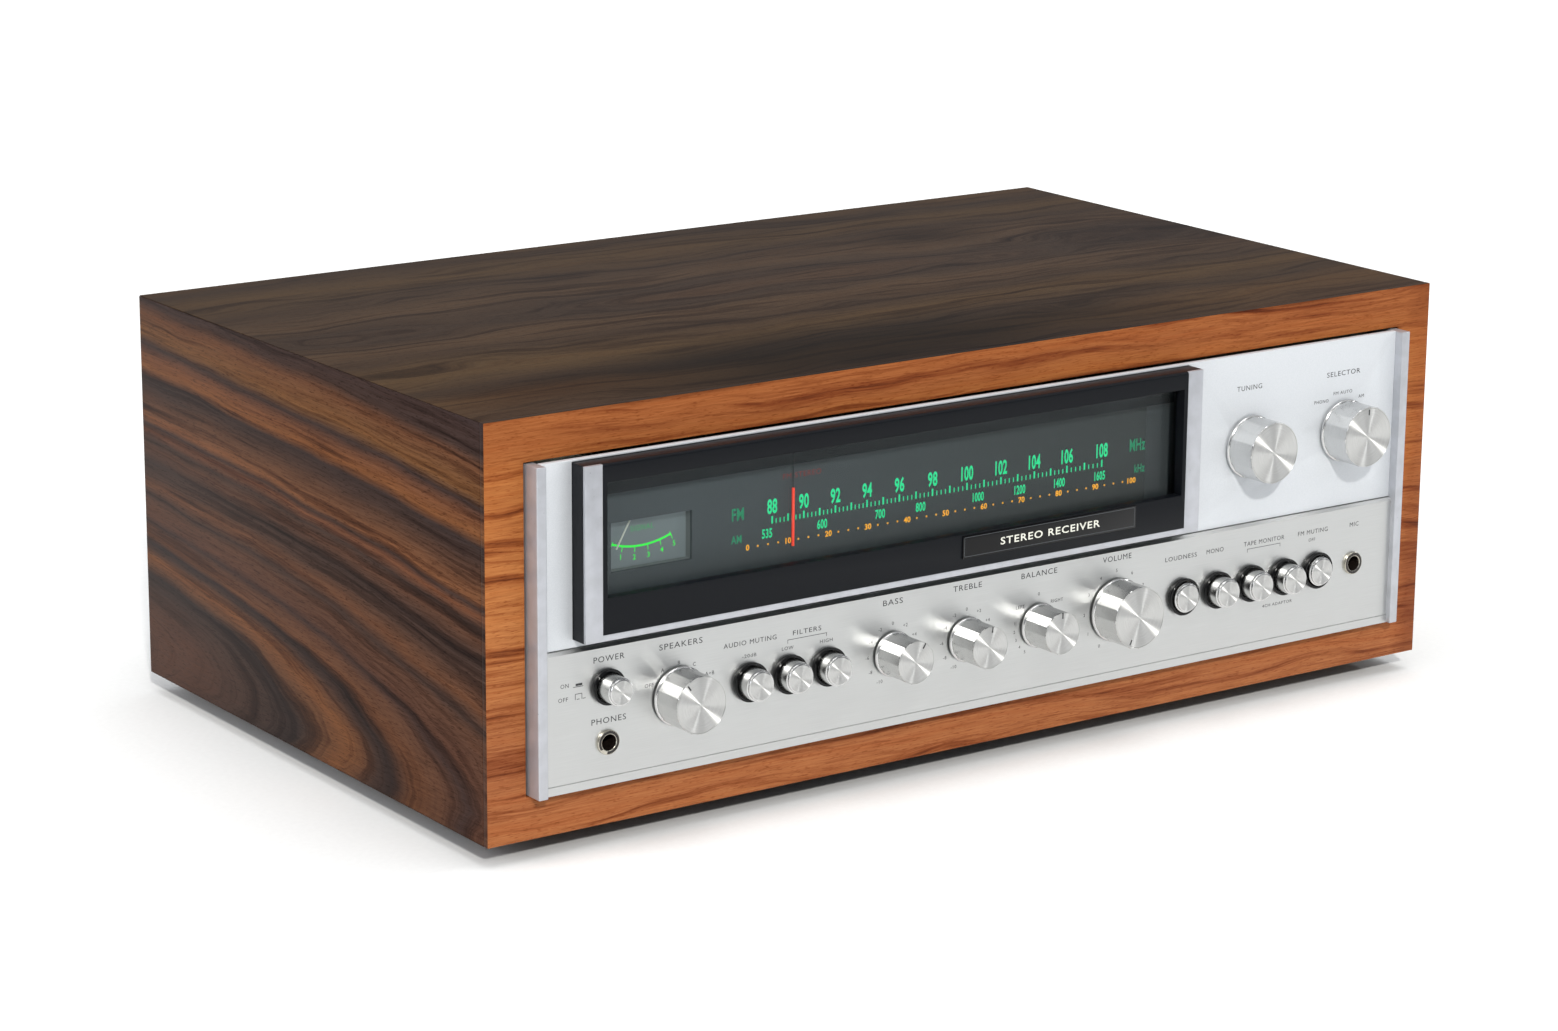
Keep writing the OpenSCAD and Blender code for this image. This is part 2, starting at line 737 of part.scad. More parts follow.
// Outline of a belt round wheels given as [centre, radius], at a distance from their rims
function belt(wheels, off, steps = 10) = [
    for (i = [0 : len(wheels) - 1])
        let (
            w = wheels[i],
            before = wheels[(i + len(wheels) - 1) % len(wheels)],
            after = wheels[(i + 1) % len(wheels)],
            n0 = run_normal(before[0], w[0], before[1], w[1]),
            n1 = run_normal(w[0], after[0], w[1], after[1]),
            a0 = atan2(n0[1], n0[0]),
            turn = (a0 - atan2(n1[1], n1[0]) + 720) % 360
        )
        for (k = [0 : steps])
            w[0] + (w[1] + off) * [cos(a0 - turn * k / steps), sin(a0 - turn * k / steps)]
];

module dial_cord() {
    wheels = [
        [[left_pulley_x, pulley_z], pulley_r], [[right_pulley_x, pulley_z], pulley_r],
        [[tuning_x, tuner_z], spindle_r], [[drum_x, drum_z], drum_r]
    ];
    color("#d9cfae") placed() difference() {
        slab(belt(wheels, cord_gap + cord_d), cord_y - cord_r, cord_y + cord_r);
        slab(belt(wheels, cord_gap), cord_y - cord_d, cord_y + cord_d);
    }
}

// Grooved wheel about y with its middle in the cord's plane
module grooved_wheel(r, rim, t, bore_r) {
    wall = (t - cord_d - 2 * cord_gap) / 2;
    rotate([90, 0, 0]) rotate_extrude() polygon([
        [bore_r, -t / 2], [r + rim, -t / 2], [r + rim, wall - t / 2], [r, wall - t / 2],
        [r, t / 2 - wall], [r + rim, t / 2 - wall], [r + rim, t / 2], [bore_r, t / 2]
    ]);
}

module cord_pulley(x) {
    color("#d8d4c4") placed() translate([x, cord_y, pulley_z])
        grooved_wheel(pulley_r, pulley_rim, pulley_t, pin_r + 0.05);
}

module left_cord_pulley() {
    cord_pulley(left_pulley_x);
}

module right_cord_pulley() {
    cord_pulley(right_pulley_x);
}

module dial_drum() {
    color("#cfcab8") placed() translate([drum_x, 0, drum_z]) {
        translate([0, cord_y, 0]) grooved_wheel(drum_r, 2, drum_t, shaft_r);
        bar(shaft_r, cord_y - drum_t / 2 - 1, subpanel_y + bearing_l + 2);
    }
}

module tuning_shaft() {
    wheel_y = subpanel_y + bearing_l + 3;
    color("#b9bcbf") placed() translate([tuning_x, 0, tuner_z]) {
        bar(shaft_r, knob_gap - upper_proud - knob_h + 3, wheel_y + flywheel_t + 1);
        bar(spindle_r, cord_y - 1.8, cord_y + 1.8);
        difference() {
            bar(flywheel_r, wheel_y, wheel_y + flywheel_t);
            bar(shaft_r + 0.03, wheel_y - 1, wheel_y + flywheel_t + 1);
        }
    }
}

capacitor_front = subpanel_y + bearing_l + 5;
capacitor_plates = 6;
plate_pitch = 8;
capacitor_l = (capacitor_plates + 1) * plate_pitch;
rotor_r = 18;

module tuning_capacitor() {
    w = 2 * rotor_r + 8;
    t = 2;
    z0 = drum_z - rotor_r - 3;
    pedestal_front = behind + max(volume_pot_l, switch_l) + 5;
    color("#c3c5c2") placed() difference() {
        union() {
            for (y = [capacitor_front, capacitor_front + capacitor_l - t])
                box([drum_x - w / 2, y, z0], [drum_x + w / 2, y + t, drum_z + rotor_r + 6]);
            box([drum_x - w / 2, capacitor_front, z0 - t],
                [drum_x + w / 2, capacitor_front + capacitor_l, z0]);
            box([drum_x - 12, pedestal_front, floor_z],
                [drum_x + 12, capacitor_front + capacitor_l, z0 - t]);
            box([drum_x - 5, capacitor_front, drum_z + rotor_r + 2],
                [drum_x + 5, capacitor_front + capacitor_l, drum_z + rotor_r + 5]);
            for (i = [1 : capacitor_plates])
                box([drum_x - rotor_r, capacitor_front + i * plate_pitch + 3, drum_z + 5],
                    [drum_x + rotor_r, capacitor_front + i * plate_pitch + 4, drum_z + rotor_r + 3]);
        }
        bar(bearing_r, capacitor_front - 1, capacitor_front + t + 1, drum_x, drum_z);
        bar(bearing_r, capacitor_front + capacitor_l - t - 1,
            capacitor_front + capacitor_l + 1, drum_x, drum_z);
    }
}

module capacitor_rotor() {
    color("#d6d8d4") placed() translate([drum_x, 0, drum_z]) {
        bar(shaft_r, capacitor_front - 1.5, capacitor_front + capacitor_l + 2);
        for (i = [1 : capacitor_plates]) difference() {
            bar(rotor_r, capacitor_front + i * plate_pitch - 1, capacitor_front + i * plate_pitch);
            box([-rotor_r - 1, capacitor_front + i * plate_pitch - 2, 4],
                [rotor_r + 1, capacitor_front + i * plate_pitch + 1, rotor_r + 1]);
        }
    }
}

// ---- Knobs ----

// Turned knob with flats round its side, on its own shaft, seen from the panel's face at y = 0
module knob(r, flats, shaft_end) {
    rim = 1;
    flat_r = r - 0.35;
    side = (knob_h - knob_gap) - 2 * rim;
    difference() {
        union() {
            bar(r, -knob_gap - rim, -knob_gap);
            translate([0, -knob_gap - rim, 0]) rotate([90, 0, 0]) linear_extrude(side)
                polygon([for (i = [0 : flats - 1])
                    flat_r * [cos((i + 0.5) * 360 / flats), sin((i + 0.5) * 360 / flats)]]);
            bar(r - 0.3, -knob_h, rim - knob_h);
        }
        bar(shaft_r + 0.03, 2.8 - knob_h, 1);
    }
    if (shaft_end > 0) bar(shaft_r, 3 - knob_h, shaft_end);
}

shaft_reach = behind + shaft_depth;

module front_knob(x, r, flats) {
    color("#d2d4d6") placed() translate([x, -lower_proud, row_z])
        knob(r, flats, shaft_reach + lower_proud);
}

module tuning_knob() {
    color("#d2d4d6") placed() translate([tuning_x, -upper_proud, tuner_z])
        knob(large_knob_r, 16, 0);
}

module selector_knob() {
    color("#d2d4d6") placed() translate([selector_x, -upper_proud, tuner_z])
        knob(large_knob_r, 16, shaft_reach + upper_proud);
}

module speakers_knob() {
    front_knob(speakers_at, speakers_knob_r, 16);
}

module bass_knob() {
    front_knob(bass_at, tone_knob_r, 14);
}

module treble_knob() {
    front_knob(bass_at + tone_step, tone_knob_r, 14);
}

module balance_knob() {
    front_knob(bass_at + 2 * tone_step, tone_knob_r, 14);
}

module volume_knob() {
    front_knob(volume_at, large_knob_r, 16);
}

// Threaded bushing through the sub-panel, with its nut in front
module bushing(body_r, body_l) {
    difference() {
        union() {
            bar(bushing_r, bushing_front, behind + 0.5);
            translate([0, subpanel_y, 0]) rotate([90, 0, 0])
                cylinder(r = bushing_r + 2.4, h = 2.2, $fn = 6);
            bar(body_r, behind, behind + body_l);
        }
        bar(bearing_r, bushing_front - 1, shaft_reach + 0.3);
    }
}

module control_pots() {
    color("#8f9296") placed() for (p = pot_places) translate([p[0], 0, row_z]) {
        bushing(p[1], p[2]);
        box([-p[1] * 0.6, behind + 2, -p[1] - 5], [p[1] * 0.6, behind + 3.5, -p[1] * 0.6]);
    }
}

module rotary_switches() {
    wafers = 3;
    wafer_gap = 12;
    color("#8a7a4e") placed() for (p = switch_places) translate([p[0], 0, p[1]]) {
        bushing(wafer_r - 3, shaft_depth + 2);
        for (i = [1 : wafers])
            bar(wafer_r, behind + i * wafer_gap, behind + i * wafer_gap + 1.6);
        for (s = [-1, 1])
            bar(1.5, behind + 1, behind + wafers * wafer_gap + 4, s * (wafer_r - 4.6), 0);
    }
}

// ---- Buttons ----

// Cap on its plunger, pressed in by the given distance
module button(x, z, r, out, pressed) {
    cap_l = out + lower_proud - 1.5;
    face = pressed - lower_proud - out;
    color("#d4d6d8") placed() translate([x, 0, z]) {
        difference() {
            union() {
                bar(r - 0.5, face, face + 1);
                bar(r, face + 1, face + cap_l);
            }
            bar(plunger_r + 0.03, face + 3, face + cap_l + 1);
        }
        bar(plunger_r, face + 3.2, behind + 9.5 + pressed);
    }
}

module row_button(i) {
    button(button_row[i][0], row_z, button_r, button_out, button_row[i][1]);
}

module power_button() {
    button(power_at, power_z, power_r, power_out, 0);
}

module muting_button() {
    row_button(0);
}

module low_filter_button() {
    row_button(1);
}

module high_filter_button() {
    row_button(2);
}

module loudness_button() {
    row_button(3);
}

module mono_button() {
    row_button(4);
}

module tape_1_button() {
    row_button(5);
}

module tape_2_button() {
    row_button(6);
}

module fm_muting_button() {
    row_button(7);
}

module button_switches() {
    travel_end = behind + 9.5 + button_travel + 0.5;
    color("#e0dccb") placed() for (b = button_holes()) difference() {
        box([b[0] - switch_w / 2, behind, b[1] - switch_w / 2],
            [b[0] + switch_w / 2, behind + switch_l, b[1] + switch_w / 2]);
        bar(plunger_bore_r, behind - 1, travel_end, b[0], b[1]);
    }
}

module button_collars() {
    color("#0c0c0e") placed() for (b = button_holes()) translate([b[0], 0, b[1]]) difference() {
        union() {
            bar(b[2] + collar_w, -lower_proud - collar_proud, -lower_proud);
            bar(b[2] + collar_w / 2, -lower_proud - 0.5, lower_back);
        }
        bar(b[2], -lower_proud - collar_proud - 1, lower_back + 1);
    }
}

// ---- Jacks ----

module phone_jacks() {
    ring_t = 1.2;
    color("#b3b09f") placed() for (p = [[power_at, phones_z], [mic_at, row_z]])
        translate([p[0], 0, p[1]]) difference() {
            union() {
                bar(jack_ring_r, -lower_proud - ring_t, -lower_proud);
                bar(jack_ring_r - 0.6, -lower_proud - 0.5, lower_back + 1);
                bar(8, lower_back, jack_bore_l - lower_proud + 1);
            }
            bar(jack_bore_d / 2, -lower_proud - ring_t - 1, jack_bore_l - lower_proud - ring_t);
        }
}

// ---- Power supply and amplifier ----

module power_transformer() {
    y0 = 120;
    foot_t = 2;
    w = transformer_w;
    color("#6b4a2c") placed() translate([transformer_x, y0, floor_z]) {
        box([0, 0, 0], [w, transformer_l, foot_t]);
        box([4, 16, foot_t], [w - 4, transformer_l - 16, transformer_h]);
        for (s = [0, 1])
            box([14, s * (transformer_l - 18) + 1, foot_t + 10],
                [w - 14, s * (transformer_l - 18) + 17, transformer_h - 10]);
    }
}

module filter_capacitors() {
    clamp_t = 1.5;
    color("#2c4a78") placed() for (i = [0, 1])
        translate([can_x, 130 + i * (2 * can_r + 10), floor_z]) {
            cylinder(r = can_r, h = can_h);
            difference() {
                cylinder(r = can_r + clamp_t, h = 14);
                translate([0, 0, -1]) cylinder(r = can_r - 0.5, h = 16);
            }
            box([-can_r - clamp_t - 6, -6, 0], [-can_r, 6, 2]);
        }
}

module heat_sink() {
    base_t = 6;
    fin_l = 24;
    fin_t = 2;
    pitch = (sink_l - fin_t) / (sink_fins - 1);
    sink_y = rear_y - 62;
    color("#26282b") placed() translate([sink_x, sink_y, floor_z]) {
        box([0, 0, 0], [sink_l, base_t, sink_h]);
        for (i = [0 : sink_fins - 1])
            box([i * pitch, base_t - 0.5, 0], [i * pitch + fin_t, base_t + fin_l, sink_h]);
        // Output transistors on the sink's front face
        for (i = [0 : 3]) translate([sink_l * (i + 0.5) / 4, 0, sink_h * 0.6]) {
            bar(13, -2, 0);
            bar(9.5, -8, -2);
        }
    }
}

module circuit_board(x0, y0, w, l, cols, rows) {
    translate([x0, y0, floor_z]) {
        for (px = [6, w - 6]) for (py = [6, l - 6])
            translate([px, py, 0]) cylinder(r = 3, h = standoff_h);
        box([0, 0, standoff_h], [w, l, standoff_h + board_pcb_t]);
        for (i = [0 : cols - 1]) for (j = [0 : rows - 1]) {
            px = 14 + i * (w - 28) / (cols - 1);
            py = 12 + j * (l - 24) / (rows - 1);
            if ((i + j) % 2 == 0)
                translate([px, py, standoff_h]) cylinder(r = 4, h = board_pcb_t + 12);
            else
                box([px - 5, py - 3, standoff_h], [px + 5, py + 3, standoff_h + board_pcb_t + 7]);
        }
    }
}

module amplifier_board() {
    color("#7a5c2e") placed() circuit_board(amplifier_x, behind + 70, amplifier_w, amplifier_l, 5, 4);
}

module tuner_board() {
    color("#3f6b45") placed() circuit_board(tuner_x, behind + 68, tuner_w, tuner_l, 5, 5);
}

// ---- Rear panel fittings ----

module input_jacks() {
    strip_t = 3;
    back = rear_y + sheet_t;
    color("#2a211a") placed() {
        for (i = [0 : rca_pairs - 1]) for (j = [0, 1]) difference() {
            union() {
                bar(6.5, back, back + strip_t, rca_x + i * rca_pitch, rca_z + j * rca_pitch);
                bar(rca_r, back, back + strip_t + rca_l, rca_x + i * rca_pitch,
                    rca_z + j * rca_pitch);
            }
            bar(1.6, back + 2, back + strip_t + rca_l + 1, rca_x + i * rca_pitch,
                rca_z + j * rca_pitch);
        }
    }
}

module screw_strip(x0, z0, cols, rows) {
    back = rear_y + sheet_t;
    face = back + screw_base_t;
    box([x0, back, z0], [x0 + cols * screw_pitch, face, z0 + rows * screw_row]);
    for (i = [0 : cols - 1]) for (j = [0 : rows - 1])
        bar(3.4, face - 1, face + 3, x0 + (i + 0.5) * screw_pitch, z0 + (j + 0.5) * screw_row);
}

module screw_terminals() {
    color("#22201e") placed() {
        screw_strip(speaker_screws_x, speaker_screws_z, 6, 2);
        screw_strip(antenna_screws_x, antenna_screws_z, 5, 1);
    }
}

module mains_fittings() {
    back = rear_y + sheet_t;
    color("#1d1a18") placed() {
        for (i = [0, 1]) translate([outlet_x, back, outlet_z + i * outlet_step]) difference() {
            box([-outlet_w / 2, 0, -outlet_h / 2], [outlet_w / 2, outlet_t, outlet_h / 2]);
            for (s = [-1, 1])
                box([s * blade_step - 1, 1, -4], [s * blade_step + 1, outlet_t + 1, 4]);
        }
        bar(7, back, back + 8, fuse_x, fuse_z);
        // Gland of the mains cord
        difference() {
            union() {
                bar(8, back, back + 3, fuse_x, gland_z);
                bar(5.5, back, back + 9, fuse_x, gland_z);
            }
            bar(3, back + 2, back + 10, fuse_x, gland_z);
        }
    }
}

module ferrite_antenna() {
    color("#2b2b2e") placed() difference() {
        union() {
            translate([antenna_x, antenna_y, antenna_z]) {
                rotate([0, -90, 0]) cylinder(d = antenna_d, h = antenna_l);
                translate([0, 0, -antenna_d / 2]) cylinder(d = antenna_d * 0.72, h = antenna_d);
            }
        }
        translate([antenna_x, antenna_y, antenna_z - antenna_d])
            cylinder(r = antenna_pin_r + 0.05, h = 2 * antenna_d);
    }
}

cabinet_top();
cabinet_bottom();
cabinet_left_side();
cabinet_right_side();
front_lipping();
rubber_feet();
chassis_bolts();
chassis_tray();
front_subpanel();
rear_panel();
upper_faceplate();
lower_faceplate();
end_trims();
dial_bezel();
dial_trim();
dial_glass();
badge_plate();
dial_plate();
dial_lamps();
meter_case();
meter_needle();
pointer_rail();
dial_pointer();
dial_cord();
left_cord_pulley();
right_cord_pulley();
tuning_knob();
tuning_shaft();
dial_drum();
tuning_capacitor();
capacitor_rotor();
selector_knob();
speakers_knob();
bass_knob();
treble_knob();
balance_knob();
volume_knob();
control_pots();
rotary_switches();
power_button();
muting_button();
low_filter_button();
high_filter_button();
loudness_button();
mono_button();
tape_1_button();
tape_2_button();
fm_muting_button();
button_switches();
button_collars();
phone_jacks();
power_transformer();
filter_capacitors();
heat_sink();
amplifier_board();
tuner_board();
input_jacks();
screw_terminals();
mains_fittings();
ferrite_antenna();
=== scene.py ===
import json
from math import asin, atan2, cos, degrees, hypot, radians, sin, tau

import bmesh
from bmesh import ops
import bpy
from mathutils import Matrix, Vector


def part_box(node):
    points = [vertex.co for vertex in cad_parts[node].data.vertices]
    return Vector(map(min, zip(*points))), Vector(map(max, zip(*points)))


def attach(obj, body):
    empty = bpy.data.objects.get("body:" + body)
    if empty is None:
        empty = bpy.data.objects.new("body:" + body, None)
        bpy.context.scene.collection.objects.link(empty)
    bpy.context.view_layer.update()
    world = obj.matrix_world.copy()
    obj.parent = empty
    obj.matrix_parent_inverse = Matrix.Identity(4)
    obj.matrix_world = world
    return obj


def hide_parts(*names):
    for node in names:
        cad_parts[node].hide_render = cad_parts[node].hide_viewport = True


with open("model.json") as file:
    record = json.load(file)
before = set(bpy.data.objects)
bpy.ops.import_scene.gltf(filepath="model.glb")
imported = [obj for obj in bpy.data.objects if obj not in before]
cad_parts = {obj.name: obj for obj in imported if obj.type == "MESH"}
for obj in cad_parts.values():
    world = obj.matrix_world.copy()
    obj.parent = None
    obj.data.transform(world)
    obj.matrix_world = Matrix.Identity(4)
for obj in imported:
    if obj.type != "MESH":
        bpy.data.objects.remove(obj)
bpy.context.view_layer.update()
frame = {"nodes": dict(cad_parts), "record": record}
scene = bpy.context.scene
scene.view_settings.view_transform = "Standard"

mm = 0.001
woodLow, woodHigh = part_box("front_lipping")


def at(x, y, z):  # millimetres from the middle, the wood's front plane and the cabinet's underside
    return Vector((x * mm, woodLow.y + y * mm, woodLow.z + z * mm))


def localBox(node):  # the node's low and high corners in those millimetres
    return [(corner - at(0, 0, 0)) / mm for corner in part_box(node)]


def linear(hexColour):
    shares = [int(hexColour[i:i + 2], 16) / 255 for i in (1, 3, 5)]
    return [c / 12.92 if c < 0.04045 else ((c + 0.055) / 1.055) ** 2.4 for c in shares] + [1.0]


def feed(tree, node, inputs):  # an input is a value, or the output that feeds it
    for socket, value in inputs.items():
        if isinstance(value, bpy.types.NodeSocket):
            tree.links.new(value, node.inputs[socket])
        else:
            node.inputs[socket].default_value = value


def startMaterial(name, values):
    material = bpy.data.materials.new(name)
    material.use_nodes = True
    tree = material.node_tree
    shader = tree.nodes["Principled BSDF"]
    feed(tree, shader, values)
    return material, tree, shader


def addNode(tree, kind, inputs, **settings):  # gives the new node's outputs
    node = tree.nodes.new("ShaderNode" + kind)
    for name, value in settings.items():
        if name == "stops":
            ramp = node.color_ramp
            while len(ramp.elements) < len(value):
                ramp.elements.new(0.5)
            for element, (position, colour) in zip(ramp.elements, value):
                element.position, element.color = position, linear(colour)
        else:
            setattr(node, name, value)
    feed(tree, node, inputs)
    return node.outputs


def objectMillimetres(tree, turn=(0, 0, 0), stretch=(1, 1, 1)):
    place = addNode(tree, "TexCoord", {})["Object"]
    return addNode(tree, "Mapping", {
        "Vector": place, "Rotation": turn, "Scale": [s / mm for s in stretch]})[0]


def tinted(tree, colour, field, stops):  # the colour multiplied by a ramp over the field
    shade = addNode(tree, "ValToRGB", {"Fac": field}, stops=stops)[0]
    return addNode(tree, "Mix", {0: 1.0, 6: colour, 7: shade}, data_type="RGBA", blend_type="MULTIPLY")[2]


camera = {
    "place": (-1.0166, -1.4181, 0.5341),
    "turn": (75.33, -0.435, -35.148),  # degrees
    "lens": 95.86,
}


def addObject(name, data):
    thing = bpy.data.objects.new(name, data)
    scene.collection.objects.link(thing)
    return thing


def addCamera():
    data = bpy.data.cameras.new("camera")
    data.lens, data.sensor_width = camera["lens"], 36
    data.clip_start, data.clip_end = 0.05, 60
    scene.camera = addObject("camera", data)
    scene.camera.location = camera["place"]
    scene.camera.rotation_euler = [radians(a) for a in camera["turn"]]


studio = {
    "floorSize": 40.0,
    "sky": 0.9,
    "skyTones": [(0.0, "#7c7f84"), (0.3, "#8e9196"), (0.62, "#d8dadc"), (1.0, "#e4e6e8")],
    # Name, azimuth from the front towards the right, elevation and breadth in degrees, strength, colour
    "lamps": [
        ("key", -25, 33, 3.5, 1.85, "#fffdf9"),
        ("fill", 64, 25, 4, 0.35, "#ffffff"),
        ("top", 10, 78, 40, 1.0, "#ffffff"),
        ("left", -100, 25, 30, 0.8, "#f6f9ff"),
    ],
}


def addStudio():
    world = bpy.data.worlds.new("studio")
    scene.world = world
    world.use_nodes = True
    tree = world.node_tree
    up = addNode(tree, "SeparateXYZ", {"Vector": addNode(tree, "TexCoord", {})["Generated"]})["Z"]
    glow = addNode(tree, "ValToRGB", {"Fac": up}, stops=studio["skyTones"])[0]
    feed(tree, tree.nodes["Background"], {"Color": glow, "Strength": studio["sky"]})
    for name, azimuth, elevation, breadth, strength, colour in studio["lamps"]:
        data = bpy.data.lights.new(name, "SUN")
        data.angle, data.energy = radians(breadth), strength
        data.color = linear(colour)[:3]
        a, e = radians(azimuth), radians(elevation)
        away = Vector((sin(a) * cos(e), -cos(a) * cos(e), sin(e)))
        lamp = addObject(name, data)
        lamp.location = away * 3
        lamp.rotation_euler = away.to_track_quat("Z", "Y").to_euler()
    bm = bmesh.new()
    ops.create_grid(bm, x_segments=1, y_segments=1, size=studio["floorSize"] / 2)
    mesh = bpy.data.meshes.new("floor")
    bm.to_mesh(mesh)
    bm.free()
    floor = addObject("floor", mesh)
    # Matt white paper sweep: a faint tooth keeps it from looking like a void
    material, tree, shader = startMaterial("white paper", {"Roughness": 0.9})
    tooth = addNode(tree, "TexNoise", {"Vector": objectMillimetres(tree), "Scale": 0.4})["Fac"]
    tone = addNode(tree, "ValToRGB", {"Fac": tooth}, stops=[(0.3, "#f4f4f3"), (0.7, "#f7f7f6")])[0]
    feed(tree, shader, {"Base Color": tone})
    mesh.materials.append(material)


addCamera()
addStudio()
print("camera and studio")


# Object axes to grain axes: x runs along the grain, y across it and z through the board
alongX = (0, 0, 0)
alongXUpright = Matrix(((1, 0, 0), (0, 0, 1), (0, -1, 0))).to_euler()
alongYUpright = Matrix(((0, 1, 0), (0, 0, 1), (1, 0, 0))).to_euler()
# Length along the grain and breadth across it in millimetres, and detail.
# Fibres and pores are drawn twice as coarse as real ones, so that they show.
grainFields = {"drift": (130, 55, 2.0), "ripple": (34, 11, 2.0), "fibres": (20, 0.7, 5.0),
               "pores": (3.5, 0.45, 1.0)}
streakRate = 0.006  # change of the streaks for each millimetre along the grain
woodRelief = {"Strength": 0.12, "Distance": 0.05 * mm}


def rosewood(name, look):
    material, tree, shader = startMaterial(name, {"Specular IOR Level": look["gloss"]})
    grain = objectMillimetres(tree, look["turn"])
    fields = {}
    for field, (length, breadth, detail) in grainFields.items():
        place = addNode(tree, "Mapping", {
            "Vector": grain, "Scale": (1 / length, 1 / breadth, 1 / breadth)})[0]
        fields[field] = addNode(tree, "TexNoise", {
            "Vector": place, "Scale": 1.0, "Detail": detail, "Roughness": 0.6})["Fac"]
    # Growth rings cut at a slant: long ovals round the figure's centre
    oval = addNode(tree, "Mapping", {
        "Vector": grain, "Location": (-look["figure"][0] / look["oval"], -look["figure"][1], 0),
        "Scale": (1 / look["oval"], 1, 0)})[0]
    ring = addNode(tree, "VectorMath", {0: oval}, operation="LENGTH")["Value"]
    for amount, share in ((fields["drift"], look["drift"]), (fields["ripple"], look["ripple"]),
                          (1.0, -(look["drift"] + look["ripple"]) / 2)):
        ring = addNode(tree, "Math", {0: amount, 1: share, 2: ring}, operation="MULTIPLY_ADD")[0]
    part = addNode(tree, "Math", {0: ring, 1: look["span"]}, operation="DIVIDE")[0]
    colour = addNode(tree, "ValToRGB", {"Fac": part}, stops=[
        (reach / look["span"], tone) for reach, tone in look["rings"]])[0]
    x = addNode(tree, "SeparateXYZ", {"Vector": grain})["X"]
    along = addNode(tree, "Math", {0: x, 1: streakRate, 2: look["seed"]}, operation="MULTIPLY_ADD")[0]
    across = addNode(tree, "Math", {0: ring, 1: look["stripe"]}, operation="DIVIDE")[0]
    place = addNode(tree, "CombineXYZ", {"X": along, "Y": across, "Z": look["seed"]})[0]
    streaks = addNode(tree, "TexNoise", {
        "Vector": place, "Scale": 1.0, "Detail": 6.0, "Roughness": 0.7})["Fac"]
    shades = [(streaks, look["streaks"]),
              (fields["fibres"], [(0.3, look["fibre"]), (0.7, "#ffffff")]),
              (fields["pores"], [(0.58, "#ffffff"), (0.72, look["pore"])])]
    for (x, y), (length, breadth), shade in look.get("clouds", ()):  # wide darker or lighter areas
        spot = addNode(tree, "Mapping", {
            "Vector": grain, "Scale": (1 / length, 1 / breadth, 0),
            "Location": (-x / length, -y / breadth, 0)})[0]
        reach = addNode(tree, "VectorMath", {0: spot}, operation="LENGTH")["Value"]
        edge = addNode(tree, "Math", {0: fields["drift"], 1: 0.5, 2: reach}, operation="MULTIPLY_ADD")[0]
        shades.append((edge, [(0.45, shade), (1.0, "#ffffff")]))
    for field, stops in shades:
        colour = tinted(tree, colour, field, stops)
    sheen = addNode(tree, "MapRange", {
        "Value": fields["fibres"], "To Min": look["roughness"] - 0.06,
        "To Max": look["roughness"] + 0.08})[0]
    relief = addNode(tree, "Bump", {"Height": fields["fibres"]} | woodRelief)[0]
    feed(tree, shader, {"Base Color": colour, "Roughness": sheen, "Normal": relief})
    return material


# Oiled rosewood veneer: brown bands with near-black edges and a satin sheen.
# Each ring is a distance from the figure's centre in millimetres and its colour.
sideRings = [
    (0, "#624436"), (20, "#5c3f32"), (31, "#46352e"), (36, "#362c2a"), (39, "#664632"),
    (43, "#7e5132"), (47, "#46342d"), (49.5, "#332a29"), (52, "#6d4832"), (56, "#614232"),
    (58.5, "#41312d"), (61, "#5c3e30"), (67, "#5d4031"), (70, "#44342e"), (74, "#6b4732"),
    (79, "#4f3a30"), (85, "#40322d"), (91, "#5d4031"), (95, "#43342e"), (99, "#734a34"),
    (101.5, "#40322e"), (104, "#7c5135"), (110, "#634432"), (116, "#49362e"), (122, "#392e2c"),
    (126, "#7f5232"), (131, "#724a33"), (136, "#3d312f"), (140, "#765132"), (149, "#6c4832"),
    (154, "#43332e"), (168, "#3d302f")]
plainRings = [(0, "#4d3a2b"), (18, "#3c2f26"), (36, "#503e2e"), (60, "#403125"), (84, "#523f2a"),
              (108, "#3e3025"), (130, "#543f2a"), (160, "#423226"), (200, "#58412a"), (240, "#453325")]
darkStreaks = [(0.3, "#857873"), (0.42, "#cfc6c2"), (0.5, "#ffffff"), (0.58, "#f6efe9"), (0.7, "#968983")]
boardDepth = 282  # millimetres from the wood's front plane to the cabinet's back
backEdge, topEdge = woodLow.y / mm + boardDepth, woodHigh.z / mm
sideLook = {"turn": alongYUpright, "rings": sideRings, "span": 170, "stripe": 4.2, "gloss": 0.05,
            "roughness": 0.5, "streaks": darkStreaks, "fibre": "#cfcac6", "pore": "#bdb5af"}
